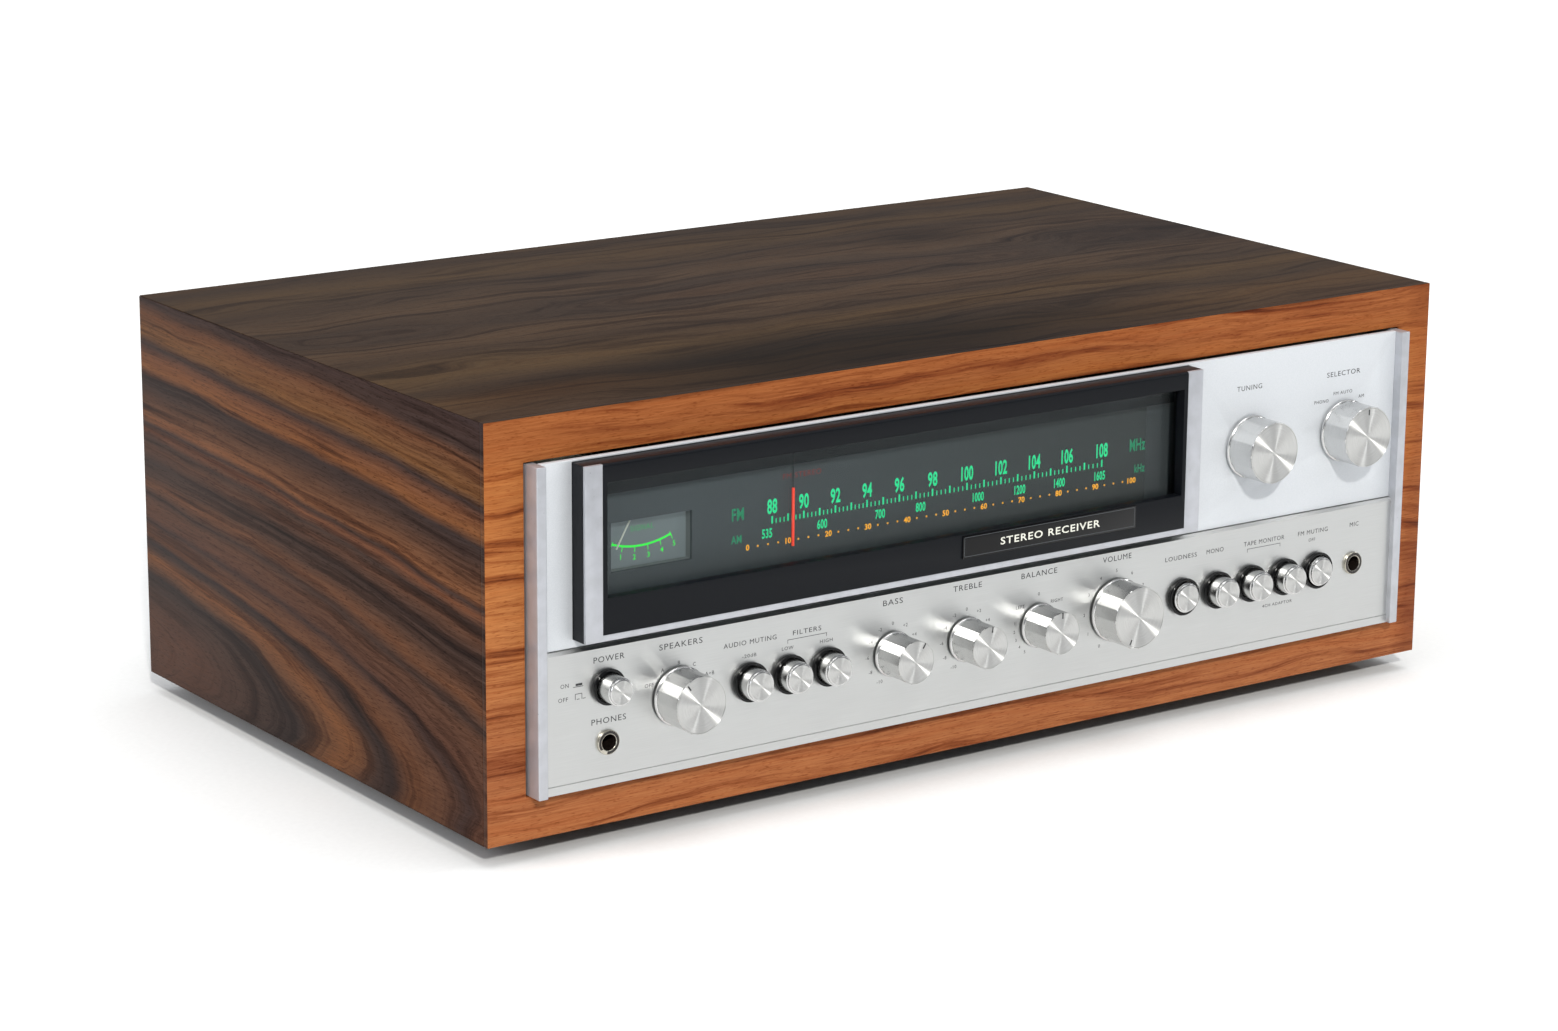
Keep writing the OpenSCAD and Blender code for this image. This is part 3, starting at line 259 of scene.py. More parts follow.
woods = {
    "rosewood veneer, top": {
        "turn": alongX, "figure": (10, 30), "oval": 11, "rings": plainRings, "span": 250,
        "drift": 46, "ripple": 1.4, "stripe": 8, "seed": 3.1, "gloss": 0.1, "roughness": 0.5,
        "streaks": darkStreaks, "fibre": "#d8d4d0", "pore": "#bfb6b0",
        "clouds": [((-35, -102), (250, 80), "#858382"), ((-190, -95), (90, 40), "#d6c9c2"),
                   ((120, 75), (60, 30), "#c5bfbb")]},
    # The figure is centred behind the board's back edge, low down
    "rosewood veneer, left side": sideLook | {
        "figure": (backEdge + 80, topEdge - 155), "oval": 5.9, "drift": 9, "ripple": 2.2, "seed": 7.7},
    "rosewood veneer, right side": sideLook | {
        "figure": (backEdge - 400, topEdge - 190), "oval": 6.4, "drift": 16, "ripple": 2.6,
        "seed": 21.3},
    "solid rosewood lipping": {
        "turn": alongXUpright, "figure": (-700, -200), "oval": 22,
        "rings": [(0, "#a5673d"), (110, "#9d603a"), (170, "#b87746"), (240, "#aa6c45"),
                  (300, "#bd7c48"), (358, "#b16f3c"), (366, "#a06135"), (420, "#9a5b35")],
        "span": 420, "drift": 22, "ripple": 1.5, "stripe": 6, "seed": 12.9, "gloss": 0.08,
        "roughness": 0.48, "streaks": [(0.3, "#7d5d52"), (0.4, "#d3bcb0"), (0.5, "#ffffff"),
                                       (0.62, "#f7ebe2"), (0.72, "#a98577")],
        "fibre": "#d9cabf", "pore": "#dccbbf",
        "clouds": [((238, 0), (18, 400), "#dccdc5"), ((-150, 178), (120, 6), "#8d7a74"),
                   ((70, 158), (110, 3), "#a58c80"), ((170, 177), (60, 5), "#a89185")]},
}
topVeneer, leftVeneer, rightVeneer, lippingWood = [rosewood(*wood) for wood in woods.items()]


def speckled(name, dark, light, patch, least, most, more=()):
    look = {"metal": 0.0, "gloss": 0.5, "stretch": (1, 1, 1), "relief": 0.1} | dict(more)
    material, tree, shader = startMaterial(name, {
        "Metallic": look["metal"], "Specular IOR Level": look["gloss"]})
    grain = objectMillimetres(tree, stretch=look["stretch"])
    patches = addNode(tree, "TexNoise", {"Vector": grain, "Scale": 1 / patch, "Detail": 4.0})["Fac"]
    colour = addNode(tree, "ValToRGB", {"Fac": patches}, stops=[(0.35, dark), (0.65, light)])[0]
    if "pits" in look:  # size in millimetres, how rare from 0 to 1, and colour
        size, rarity, shade = look["pits"]
        holes = addNode(tree, "TexNoise", {"Vector": grain, "Scale": 1 / size, "Detail": 3.0})["Fac"]
        colour = tinted(tree, colour, holes, [(rarity, "#ffffff"), (rarity + 0.05, shade)])
    if "shadeAlongX" in look:  # painted shade, darker along x: where it starts and ends in millimetres, and the last colour
        start, end, shade = look["shadeAlongX"]
        x = addNode(tree, "SeparateXYZ", {"Vector": grain})["X"]
        share = addNode(tree, "MapRange", {"Value": x, "From Min": start, "From Max": end})[0]
        colour = tinted(tree, colour, share, [(0.0, "#ffffff"), (1.0, shade)])
    gloss = addNode(tree, "MapRange", {"Value": patches, "To Min": least, "To Max": most})[0]
    relief = addNode(tree, "Bump", {
        "Height": patches, "Strength": look["relief"], "Distance": 0.1 * mm})[0]
    feed(tree, shader, {"Base Color": colour, "Roughness": gloss, "Normal": relief})
    return material


# Two tones, the size of their patches in millimetres, least and greatest roughness, and what differs
finishes = {
    # Bead blasted, clear anodised aluminium: scatters light almost like paint, with a fine sparkle
    "satin_aluminium": ("#ced2d6", "#d6d9dd", 0.35, 0.54, 0.62, {"metal": 0.3, "relief": 0.05}),
    # Anodised extrusion: smooth and satin, with a few corrosion pits
    "trim_aluminium": ("#b4b6bb", "#bdbfc5", 6.0, 0.34, 0.4,
                       {"metal": 0.55, "relief": 0.0, "pits": (0.8, 0.72, "#acaeb3")}),
    # Satin ABS moulding, blue-black
    "black_plastic": ("#090b0f", "#0e1116", 0.5, 0.3, 0.4, {"gloss": 0.15}),
    # Gloss ABS moulding
    "collar_black": ("#050506", "#09090b", 2.0, 0.1, 0.16, {"relief": 0.02, "gloss": 0.28}),
    # Moulded rubber: dull, nearly black
    "rubber": ("#151516", "#1e1e1f", 1.2, 0.7, 0.85),
    # Zinc plated sheet steel, with a yellowish passivated bloom
    "zinc_steel": ("#9d9c90", "#b9b8ab", 9.0, 0.35, 0.5, {"metal": 1.0}),
    # Grey stoved enamel on sheet steel
    "grey_steel": ("#5f6262", "#686b6b", 0.8, 0.4, 0.5),
    # Bright plated shafts, bolts and rail, faintly cloudy
    "plated_steel": ("#b4b6b8", "#c9cbcc", 3.0, 0.2, 0.32, {"metal": 1.0}),
    # Dull tinned cans of the pots
    "pot_steel": ("#8e9194", "#a5a8ab", 4.0, 0.3, 0.45, {"metal": 1.0}),
    # Paper laminate: brown with a fibrous mottling
    "phenolic": ("#6e4d29", "#86623a", 1.5, 0.4, 0.55),
    # Cream nylon, smooth and even
    "switch_plastic": ("#d3cdb9", "#ddd8c6", 5.0, 0.4, 0.5),
    # Nickel plated brass, slightly warm
    "nickel": ("#b6b1a4", "#c7c3b7", 1.5, 0.16, 0.26, {"metal": 1.0}),
    # Varnished iron laminations: fine horizontal lines of brown varnish
    "transformer_iron": ("#3a2616", "#5d4226", 0.8, 0.3, 0.5,
                         {"stretch": (0.05, 0.05, 1), "relief": 0.3}),
    # Blue shrink sleeve, glossy
    "capacitor_can": ("#1f3a66", "#2a4a7c", 3.0, 0.25, 0.35),
    # Black anodised heat sink: a dark metal with a soft sheen
    "black_anodised": ("#17181a", "#232427", 0.7, 0.4, 0.5, {"metal": 0.6}),
    # Circuit boards: brown laminate, and green solder mask
    "board_brown": ("#6d5126", "#80612f", 6.0, 0.45, 0.6),
    "board_green": ("#35603c", "#447349", 6.0, 0.35, 0.5),
    # Compression moulded phenolic: glossy dark brown, slightly flowed
    "bakelite": ("#191412", "#241d19", 2.5, 0.18, 0.3),
    # Warm frosted glass
    "lamp_glass": ("#e9dfc0", "#f4ead0", 4.0, 0.1, 0.2),
    # White enamel, slightly cream
    "needle_white": ("#d9d9cd", "#e6e6da", 1.0, 0.4, 0.5),
    # Braided dial cord: a fine diagonal texture, drawn coarser than it is
    "cord_fabric": ("#a89a72", "#d6cba6", 0.35, 0.8, 0.9, {"relief": 0.6}),
    # Turned nylon, waxy and off-white
    "pulley_nylon": ("#cfc9b8", "#dcd7c8", 4.0, 0.35, 0.45),
    # Screen printed inks: black and faintly glossy, and matt white
    "black_printing_ink": ("#1b1b1f", "#26262a", 0.4, 0.35, 0.5),
    "white_printing_ink": ("#dddcd6", "#e6e5e0", 0.5, 0.4, 0.5),
    # Back of the scale, printed matt grey-black with a painted shade darker towards the right, and a painted
    # shadow band along its top, where the bezel shades it
    "matt_scale_ink": ("#505458", "#555a5d", 0.5, 0.6, 0.7,
                       {"relief": 0.0, "gloss": 0.05, "shadeAlongX": (-150, 60, "#d6d3cd")}),
    "matt_border_ink": ("#303336", "#34373a", 0.5, 0.6, 0.7, {"relief": 0.0, "gloss": 0.05}),
    # Dark grey lacquer of the badge's rim, and the painted shade on the scale's right end, a little lighter
    # than the painted shadow band
    "dark_grey_lacquer": ("#3e4245", "#43474a", 0.6, 0.5, 0.6),
    # Stem of the pointer, a dull dark grey
    "blackened_wire": ("#2b2e31", "#34373a", 0.5, 0.5, 0.6),
    # Coloured insulators of the sockets: one row for each channel
    "white_polythene": ("#d8d6cf", "#e2e0da", 2.0, 0.3, 0.4),
    "red_polythene": ("#a3211c", "#b22a23", 2.0, 0.3, 0.4),
}
made = {slot: speckled(slot.replace("_", " "), *look) for slot, look in finishes.items()}
ink, rimAndShadeInk = made["black_printing_ink"], made["dark_grey_lacquer"]


# Metal cut or brushed one way, given by the piece's own UV map; scratch is its scale across and along
def toolMarked(name, anisotropy, roughness, dark, light, scratch, strength):
    material, tree, shader = startMaterial(name, {
        "Metallic": 1.0, "Anisotropic": anisotropy, "Roughness": roughness})
    lines = addNode(tree, "UVMap", {}, uv_map="toolMarks")[0]
    place = addNode(tree, "Mapping", {"Vector": lines, "Scale": scratch})[0]
    scratches = addNode(tree, "TexNoise", {"Vector": place, "Scale": 1.0, "Detail": 3.0})["Fac"]
    tone = addNode(tree, "ValToRGB", {"Fac": scratches}, stops=[(0.3, dark), (0.7, light)])[0]
    relief = addNode(tree, "Bump", {
        "Height": scratches, "Strength": strength, "Distance": 0.02 * mm})[0]
    tangent = addNode(tree, "Tangent", {}, direction_type="UV_MAP", uv_map="toolMarks")[0]
    feed(tree, shader, {"Base Color": tone, "Normal": relief, "Tangent": tangent})
    return material


# Knob face turned on a lathe: two bright fans meet at its centre
turnedFace = toolMarked("turned aluminium face", 1.0, 0.44, "#cfcfcd", "#dededc", (5.0, 0.15, 1), 0.1)
# Side of a knob, diamond cut and lacquered: mirror-like, with soft streaks
cutSide = toolMarked("diamond cut aluminium side", 0.4, 0.22, "#c8c8c7", "#d6d6d5", (6.0, 0.2, 1), 0.03)
# Long horizontal brushing under a clear anodised coat
brushedPlate = toolMarked("brushed aluminium plate", 0.5, 0.4, "#cacbca", "#d1d2d1", (7.0, 0.06, 1), 0.04)
print("materials")


def blockBetween(bm, low, high):
    corners = ops.create_cube(bm, size=1.0)["verts"]
    ops.scale(bm, verts=corners, vec=high - low)
    ops.translate(bm, verts=corners, vec=(low + high) / 2)
    return corners


# Drawn in millimetres round y, turned about it by so many degrees, then placed
def turnedBlock(bm, low, high, place, turned):
    corners = blockBetween(bm, Vector(low) * mm, Vector(high) * mm)
    turn = Matrix.Rotation(radians(turned), 4, "Y")
    ops.transform(bm, verts=corners, matrix=Matrix.Translation(place) @ turn)
    return corners


def paint(bm, centre, choose):  # by each face's place and radius from the centre, in millimetres
    for face in bm.faces:
        p = (face.calc_center_median() - centre) / mm
        face.material_index = choose(p, hypot(p.x, p.z))


def extrudeBy(bm, faces, offset):
    grown = ops.extrude_face_region(bm, geom=faces)["geom"]
    ops.translate(bm, verts=[g for g in grown if isinstance(g, bmesh.types.BMVert)], vec=offset)


def cutAcross(bm, place, normal, **options):
    return ops.bisect_plane(bm, geom=bm.verts[:] + bm.edges[:] + bm.faces[:], dist=1e-7,
                            plane_co=place, plane_no=normal, **options)["geom_cut"]


def addMesh(bm, other):  # the other one is used up
    mesh = bpy.data.meshes.new("part")
    other.to_mesh(mesh)
    other.free()
    bm.from_mesh(mesh)
    bpy.data.meshes.remove(mesh)


def lathe(bm, profile, centre, steps):  # profile of (radius, distance to the rear) in millimetres
    start = [bm.verts.new(centre + Vector((radius * mm, depth * mm, 0))) for radius, depth in profile]
    edges = [bm.edges.new(pair) for pair in zip(start, start[1:])]
    ops.spin(bm, geom=start + edges, cent=centre, axis=(0, 1, 0), angle=tau,
             steps=steps, use_merge=True, use_duplicate=False)
    ops.remove_doubles(bm, verts=bm.verts, dist=1e-6)
    ops.recalc_face_normals(bm, faces=bm.faces)


def turningMap(bm, centre):  # u runs across the tool marks and v along them
    layer = bm.loops.layers.uv.new("toolMarks")
    for face in bm.faces:
        out = face.calc_center_median() - centre
        faceAngle = atan2(out.z, out.x)
        for loop in face.loops:
            p = loop.vert.co - centre
            radius = hypot(p.x, p.z)
            angle = atan2(p.z, p.x) if radius > 1e-6 else faceAngle
            angle += tau * round((faceAngle - angle) / tau)
            loop[layer].uv = ((radius - p.y) / mm, angle * 8)


def boardMap(bm):  # brushing along x
    layer = bm.loops.layers.uv.new("toolMarks")
    for face in bm.faces:
        for loop in face.loops:
            p = loop.vert.co
            loop[layer].uv = ((p.z - p.y) / mm, p.x / mm)


nodeSlots = {entry["node"]: entry["material_slot"] for entry in frame["record"]["subparts"]}


# Stands for the CAD node and hides it, if there is one. Edges that turn more than crease stay sharp.
def finish(bm, name, materials, node=None, body="chassis", crease=30):
    bm.normal_update()
    for face in bm.faces:
        face.smooth = True
    for edge in bm.edges:
        edge.smooth = len(edge.link_faces) == 2 and edge.calc_face_angle(0) < radians(crease)
    mesh = bpy.data.meshes.new(name)
    bm.to_mesh(mesh)
    bm.free()
    piece = addObject(name, mesh)
    for material in materials:
        mesh.materials.append(material)
    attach(piece, body)
    if node:
        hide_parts(node)


def copyNode(node):
    bm = bmesh.new()
    bm.from_mesh(frame["nodes"][node].data)
    ops.remove_doubles(bm, verts=bm.verts, dist=2e-6)
    ops.dissolve_limit(bm, angle_limit=radians(0.3), use_dissolve_boundaries=False,
                       verts=bm.verts, edges=bm.edges)
    return bm


# Rounds the edges that turn at least so many degrees
def soften(bm, width, segments=2, least=60, chosen=None):
    edges = [e for e in bm.edges if len(e.link_faces) == 2
             and e.calc_face_angle(0) > radians(least) and (chosen is None or chosen(e))]
    ops.bevel(bm, geom=edges, offset=width * mm, offset_type="OFFSET", segments=segments,
              affect="EDGES", profile=0.5, material=-1, clamp_overlap=True)


# A piece with its CAD shape, rounded at the edges
def copyPiece(node, name, width, segments=2, least=60, body="chassis", material=None):
    bm = copyNode(node)
    if width:
        soften(bm, width, segments, least)
    finish(bm, name, [material or made[nodeSlots[node]]], node, body=body)


cabinet = {"edge": 0.5, "lippingEdge": 0.4, "least": 40}


def addCabinet():
    for node, name, veneer in (("cabinet_top", "topBoard", topVeneer),
                               ("cabinet_bottom", "bottomBoard", topVeneer),
                               ("cabinet_left_side", "leftBoard", leftVeneer),
                               ("cabinet_right_side", "rightBoard", rightVeneer)):
        copyPiece(node, name, cabinet["edge"], least=cabinet["least"], material=veneer)
    bm = copyNode("front_lipping")
    soften(bm, cabinet["lippingEdge"], least=cabinet["least"])
    bm.normal_update()
    half = (woodLow + woodHigh) / 2
    outer = woodHigh - half - Vector((1, 1, 1)) * mm
    for face in bm.faces:  # the veneer runs over the outer faces of the lipping
        out, normal = face.calc_center_median() - half, face.normal
        if abs(out.x) > outer.x or abs(out.z) > outer.z:
            if abs(normal.z) > 0.8:
                face.material_index = 1
            elif abs(normal.x) > 0.8:
                face.material_index = 2 if normal.x < 0 else 3
    finish(bm, "frontLipping", [lippingWood, topVeneer, leftVeneer, rightVeneer], "front_lipping")


addCabinet()
print("cabinet")


plates = {"edge": 0.25, "trimEdge": 0.4, "least": 40, "grooveRise": 3.4, "grooveHeight": 0.45,
          "grooveDepth": 0.35}


def addPlates():
    copyPiece("upper_faceplate", "upperPlate", plates["edge"], least=plates["least"])
    bm = copyNode("lower_faceplate")
    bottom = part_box("lower_faceplate")[0].z + plates["grooveRise"] * mm
    top = bottom + plates["grooveHeight"] * mm
    for z in (bottom, top):
        cutAcross(bm, (0, 0, z), (0, 0, 1))
    strip = [f for f in bm.faces if f.normal.y < -0.9 and bottom < f.calc_center_median().z < top]
    extrudeBy(bm, strip, (0, plates["grooveDepth"] * mm, 0))
    ops.delete(bm, geom=strip, context="FACES")
    boardMap(bm)
    finish(bm, "lowerPlate", [brushedPlate], "lower_faceplate")
    copyPiece("end_trims", "endTrims", plates["trimEdge"], 3, plates["least"])


addPlates()
print("front plates")


def turnedBox(node):  # the middle of its front, and its radius and length in millimetres
    low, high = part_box(node)
    front = Vector(((low.x + high.x) / 2, low.y, (low.z + high.z) / 2))
    return front, (high.x - low.x) / 2 / mm, (high.y - low.y) / mm


def knobFlats(bm, centre, count, inscribed, back):
    sector = tau / count
    for vert in bm.verts:
        p = vert.co - centre
        radius = hypot(p.x, p.z)
        if p.y <= back * mm + 1e-6 and radius > inscribed * mm * 0.9:
            turn = (atan2(p.z, p.x) % sector) - sector / 2
            limit = inscribed * mm / cos(turn)
            if radius > limit:
                vert.co.x = centre.x + p.x * limit / radius
                vert.co.z = centre.z + p.z * limit / radius


knobs = {  # number of flats, and the mark in degrees clockwise from straight up
    "tuning": (16, None), "selector": (16, 0), "speakers": (16, -36), "bass": (14, 32),
    "treble": (14, 8), "balance": (14, 0), "volume": (16, -155)}
knobShape = {"depth": 15.2, "skirt": 1.1, "rim": 1.0, "groove": 0.93, "shaft": 3.0, "socket": 4.0,
             "faceInset": 0.55, "sideInset": 0.15, "waistInset": 0.38, "flatInset": 0.6,
             "markLength": 2.4, "markWidth": 0.62, "markDepth": 0.3, "markPlace": 0.8}


def addKnob(name, flats, markTurn):
    front, radius, reach = turnedBox(name + "_knob")
    back, skirt, rim, shaft = [knobShape[key] for key in ("depth", "skirt", "rim", "shaft")]
    groove = radius * knobShape["groove"]
    face, side = radius - knobShape["faceInset"], radius - knobShape["sideInset"]
    waist = radius - knobShape["waistInset"]
    profile = [(0, 0.13), (groove - 0.2, 0.03), (groove - 0.14, 0.15), (groove + 0.02, 0.15),
               (groove + 0.08, 0.03), (face, 0.03), (side - 0.1, 0.33), (side, 0.45), (side, rim),
               (waist, rim + 0.15), (waist, rim + 0.2), (waist, back - skirt - 0.25),
               (waist, back - skirt - 0.2), (radius - 0.12, back - skirt),
               (radius, back - skirt + 0.15), (radius, back - 0.15), (radius - 0.15, back)]
    if reach > back + 1:
        profile += [(shaft, back), (shaft, reach - 0.4), (shaft - 0.4, reach), (0, reach)]
    else:
        profile += [(shaft + 0.05, back), (shaft + 0.05, knobShape["socket"]), (0, knobShape["socket"])]
    bm = bmesh.new()
    lathe(bm, profile, front, flats * 8)
    knobFlats(bm, front, flats, radius - knobShape["flatInset"], back - skirt - 0.24)
    mark = set()
    if markTurn is not None:
        outer = radius * knobShape["markPlace"] + knobShape["markLength"] / 2
        half = knobShape["markWidth"] / 2
        mark = set(turnedBlock(bm, (-half, 0, outer - knobShape["markLength"]),
                               (half, knobShape["markDepth"], outer), front, markTurn))
    paint(bm, front, lambda p, away: 0 if p.y < 0.2 and away < face else 3 if p.y > back - 0.1 else 1)
    for f in bm.faces:
        if f.verts[0] in mark:
            f.material_index = 2
    turningMap(bm, front)
    finish(bm, name + "Knob", [turnedFace, cutSide, ink, made["plated_steel"]], name + "_knob",
           body=name, crease=16)


for name, look in knobs.items():
    addKnob(name, *look)
print("knobs")

buttons = ("power", "muting", "low_filter", "high_filter", "loudness", "mono", "tape_1", "tape_2",
           "fm_muting")
buttonShape = {"step": 0.55, "rim": 1.0, "plunger": 2.2, "largeCap": 14.5, "smallCap": 12.5,
               "collarEdge": 0.5}


def addButton(name):
    front, radius, reach = turnedBox(name + "_button")
    face, rim, plunger = radius - buttonShape["step"], buttonShape["rim"], buttonShape["plunger"]
    cap = buttonShape["largeCap"] if name == "power" else buttonShape["smallCap"]
    profile = [(0, 0.06), (face - 0.42, 0.0), (face - 0.1, 0.1), (face, 0.3), (face, rim - 0.05),
               (radius - 0.28, rim), (radius - 0.06, rim + 0.1), (radius, rim + 0.3),
               (radius, cap - 0.2), (radius - 0.2, cap), (plunger + 0.05, cap), (plunger, cap + 0.1),
               (plunger, reach - 0.3), (plunger - 0.3, reach), (0, reach)]
    bm = bmesh.new()
    lathe(bm, profile, front, 72)
    paint(bm, front, lambda p, away: 0 if p.y < 0.2 and away < face - 0.4 else 2 if p.y > cap else 1)
    turningMap(bm, front)
    finish(bm, name + "Button", [turnedFace, cutSide, made["switch_plastic"]], name + "_button",
           body=name + "_push", crease=16)


for name in buttons:
    addButton(name)
copyPiece("button_collars", "buttonCollars", buttonShape["collarEdge"], 4)

jacks = {"edge": 0.35, "ring": 8.0, "hole": 3.3, "frontDepth": 3.5}


def addJacks():
    low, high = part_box("phone_jacks")
    bm = copyNode("phone_jacks")
    soften(bm, jacks["edge"], 3, chosen=lambda e: e.verts[0].co.y < low.y + 0.4 * mm)
    ring, power = jacks["ring"] * mm, turnedBox("power_button")[0]
    axes = [(power.x, low.z + ring), (high.x - ring, high.z - ring)]
    for f in bm.faces:
        p = f.calc_center_median()
        x, z = min(axes, key=lambda axis: abs(axis[0] - p.x))
        if p.y > low.y + jacks["frontDepth"] * mm or hypot(p.x - x, p.z - z) < jacks["hole"] * mm:
            f.material_index = 1
    finish(bm, "phoneJacks", [made["nickel"], made["bakelite"]], "phone_jacks")


addJacks()
print("buttons and jacks")

# Polished window glass, faintly green: clear, with a mirror reflection at low angles
dialGlass, tree, shader = startMaterial("window glass", {})
tree.nodes.remove(shader)
clear = addNode(tree, "BsdfTransparent", {"Color": linear("#f3f6f6")})[0]
mirror = addNode(tree, "BsdfGlossy", {"Color": linear("#ffffff"), "Roughness": 0.02})[0]
angle = addNode(tree, "Fresnel", {"IOR": 1.18})[0]
pane = addNode(tree, "MixShader", {0: angle, 1: clear, 2: mirror})[0]
feed(tree, tree.nodes["Material Output"], {"Surface": pane})
bezel = {"edge": 0.5, "topEdge": 1.3, "rounded": 4.0, "topMargin": 1.0}


def addDialWindow():
    low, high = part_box("dial_bezel")
    bm = copyNode("dial_bezel")
    soften(bm, bezel["topEdge"], 4, chosen=lambda e: all(
        v.co.z > high.z - 0.01 * mm and v.co.y < low.y + 0.01 * mm for v in e.verts))
    soften(bm, bezel["edge"], 3, chosen=lambda e: all(
        v.co.y < low.y + bezel["rounded"] * mm for v in e.verts)
        and max(v.co.z for v in e.verts) < high.z - bezel["topMargin"] * mm)
    finish(bm, "dialBezel", [made["black_plastic"]], "dial_bezel")
    copyPiece("dial_trim", "dialTrim", 0.25)
    copyPiece("badge_plate", "badgePlate", 0.15, material=made["collar_black"])
    copyPiece("dial_glass", "dialGlass", 0.2, 1, material=dialGlass)
    copyPiece("dial_plate", "dialPlate", 0, material=made["matt_scale_ink"])


addDialWindow()


def lit(name, colour, strength):  # translucent ink, lit a little unevenly from behind
    material, tree, shader = startMaterial(name, {
        "Roughness": 0.5, "Base Color": linear(colour), "Emission Color": linear(colour)})
    cloud = addNode(tree, "TexNoise", {
        "Vector": objectMillimetres(tree), "Scale": 1 / 18, "Detail": 1.0})["Fac"]
    glow = addNode(tree, "MapRange", {
        "Value": cloud, "To Min": strength * 0.75, "To Max": strength * 1.25})[0]
    feed(tree, shader, {"Emission Strength": glow})
    return material


greenLight = lit("green lit scale", "#02c882", 0.62)
dimGreenLight = lit("green scale away from the lamps", "#118058", 0.5)
meterWordGreen = lit("green meter word", "#2f9a4c", 0.4)
amberLight = lit("amber lit scale", "#f0a41c", 0.7)
redLight = lit("dim red indicator", "#7a2020", 0.3)
meterLight = lit("lit meter face", "#646b6d", 0.46)
meterGreen = lit("green meter scale", "#28d53c", 0.8)
# The pointer's red is a painted glow, like the lit scale
pointerGlow = lit("red pointer glow", "#f0402a", 0.55)
letterShapes = {}


# Weight thickens the strokes, as a share of the letter's size
def lettering(words, spacing, weight=0.0):
    key = words, spacing, weight
    if key not in letterShapes:
        curve = bpy.data.curves.new("letters", "FONT")
        curve.body, curve.size, curve.space_character, curve.resolution_u = words, 1.0, spacing, 3
        curve.offset = weight
        holder = bpy.data.objects.new("letters", curve)
        mesh = bpy.data.meshes.new_from_object(holder)
        letterShapes[key] = bmesh.new()
        letterShapes[key].from_mesh(mesh)
        bpy.data.objects.remove(holder)
        bpy.data.curves.remove(curve)
        bpy.data.meshes.remove(mesh)
    return letterShapes[key].copy()


capShare = max(v.co.y for v in lettering("H", 1).verts)
prints = {"rise": 0.03, "sink": 0.01, "lowerPlane": -5.5, "upperPlane": -3.7}


# A label is its words, x, z, the height of its capitals and its width, if not the font's own
def printLabels(bm, labels, front, spacing=1.15, facing=-1, weight=0.0):
    for words, x, z, height, *width in labels:
        letters = lettering(words, spacing, weight)
        xs = [v.co.x for v in letters.verts]
        scale = height / capShare
        across = width[0] / (max(xs) - min(xs)) if width else scale
        middleX = (max(xs) + min(xs)) / 2
        for v in letters.verts:
            v.co = at(x - facing * (v.co.x - middleX) * across, front, z - height / 2 + v.co.y * scale)
        extrudeBy(letters, letters.faces[:], (0, facing * prints["rise"] * mm, 0))
        ops.recalc_face_normals(letters, faces=letters.faces)
        addMesh(bm, letters)


def printBars(bm, bars, front, facing=-1):  # x, z, width and height of each
    near, far = sorted((front, front + facing * prints["rise"]))
    for x, z, width, height in bars:
        blockBetween(bm, at(x - width / 2, near, z - height / 2), at(x + width / 2, far, z + height / 2))


def printPiece(name, slot, material, plane, labels=(), bars=(), facing=-1, **style):
    bm = bmesh.new()
    printLabels(bm, labels, plane + prints["sink"], facing=facing, **style)
    printBars(bm, bars, plane + prints["sink"], facing)
    finish(bm, name, [material])


toneMarks = [(str(n) if n < 1 else "+" + str(n), n * 15) for n in range(-10, 11, 2)]
panelLabels = [
    ("POWER", -189.2, 69.0, 2.3, 14.1), ("PHONES", -189.4, 44.3, 2.3, 15.8),
    ("ON", -209.4, 61.0, 1.6), ("OFF", -210.1, 55.6, 1.6),
    ("SPEAKERS", -156.0, 69.2, 2.3, 20.2), ("OFF", -170.8, 54.8, 1.5),
    ("A", -164.6, 59.9, 1.5), ("B", -156.9, 61.8, 1.5),
    ("C", -149.7, 60.0, 1.5), ("A+B", -142.5, 55.1, 1.5),
    ("AUDIO MUTING", -123.3, 64.7, 1.9, 25.3), ("-20dB", -123.7, 59.1, 1.4, 6.8),
    ("FILTERS", -95.8, 64.9, 1.9, 13.8), ("LOW", -105.2, 59.1, 1.4, 5.6),
    ("HIGH", -86.4, 59.2, 1.4, 6.2),
    ("BASS", -53.5, 70.0, 2.3, 9.9), ("TREBLE", -15.7, 70.4, 2.3, 14.7),
    ("BALANCE", 21.6, 70.4, 2.3, 18.8), ("VOLUME", 63.1, 70.7, 2.3, 15.4),
    ("LOUDNESS", 98.2, 65.7, 1.9, 17.4), ("MONO", 117.1, 65.8, 1.9, 9.5),
    ("TAPE MONITOR", 144.8, 66.0, 1.9, 23.0), ("FM MUTING", 172.8, 66.0, 1.9, 17.2),
    ("OFF", 172.4, 62.4, 1.4), ("MIC", 196.9, 65.8, 1.9, 5.1),
    ("4CH ADAPTOR", 153.6, 36.7, 1.3, 17.0),
]
for knob, marks, radius, height in (  # marks of words and degrees clockwise from up
        ("bass", toneMarks, 12.6, 1.4), ("treble", toneMarks, 12.6, 1.4),
        ("balance", [("0", 0), ("LEFT", -47), ("RIGHT", 47)], 13.2, 1.4),
        ("balance", [(str(n), s * (62 + n * 17)) for n in range(1, 6) for s in (-1, 1)], 12.6, 1.3),
        ("volume", [(str(n), n * 30 - 150) for n in range(11)], 16.9, 1.4)):
    low, high = localBox(knob + "_knob")
    panelLabels += [(words, (low.x + high.x) / 2 + radius * sin(radians(a)),
                     (low.z + high.z) / 2 + radius * cos(radians(a)), height) for words, a in marks]
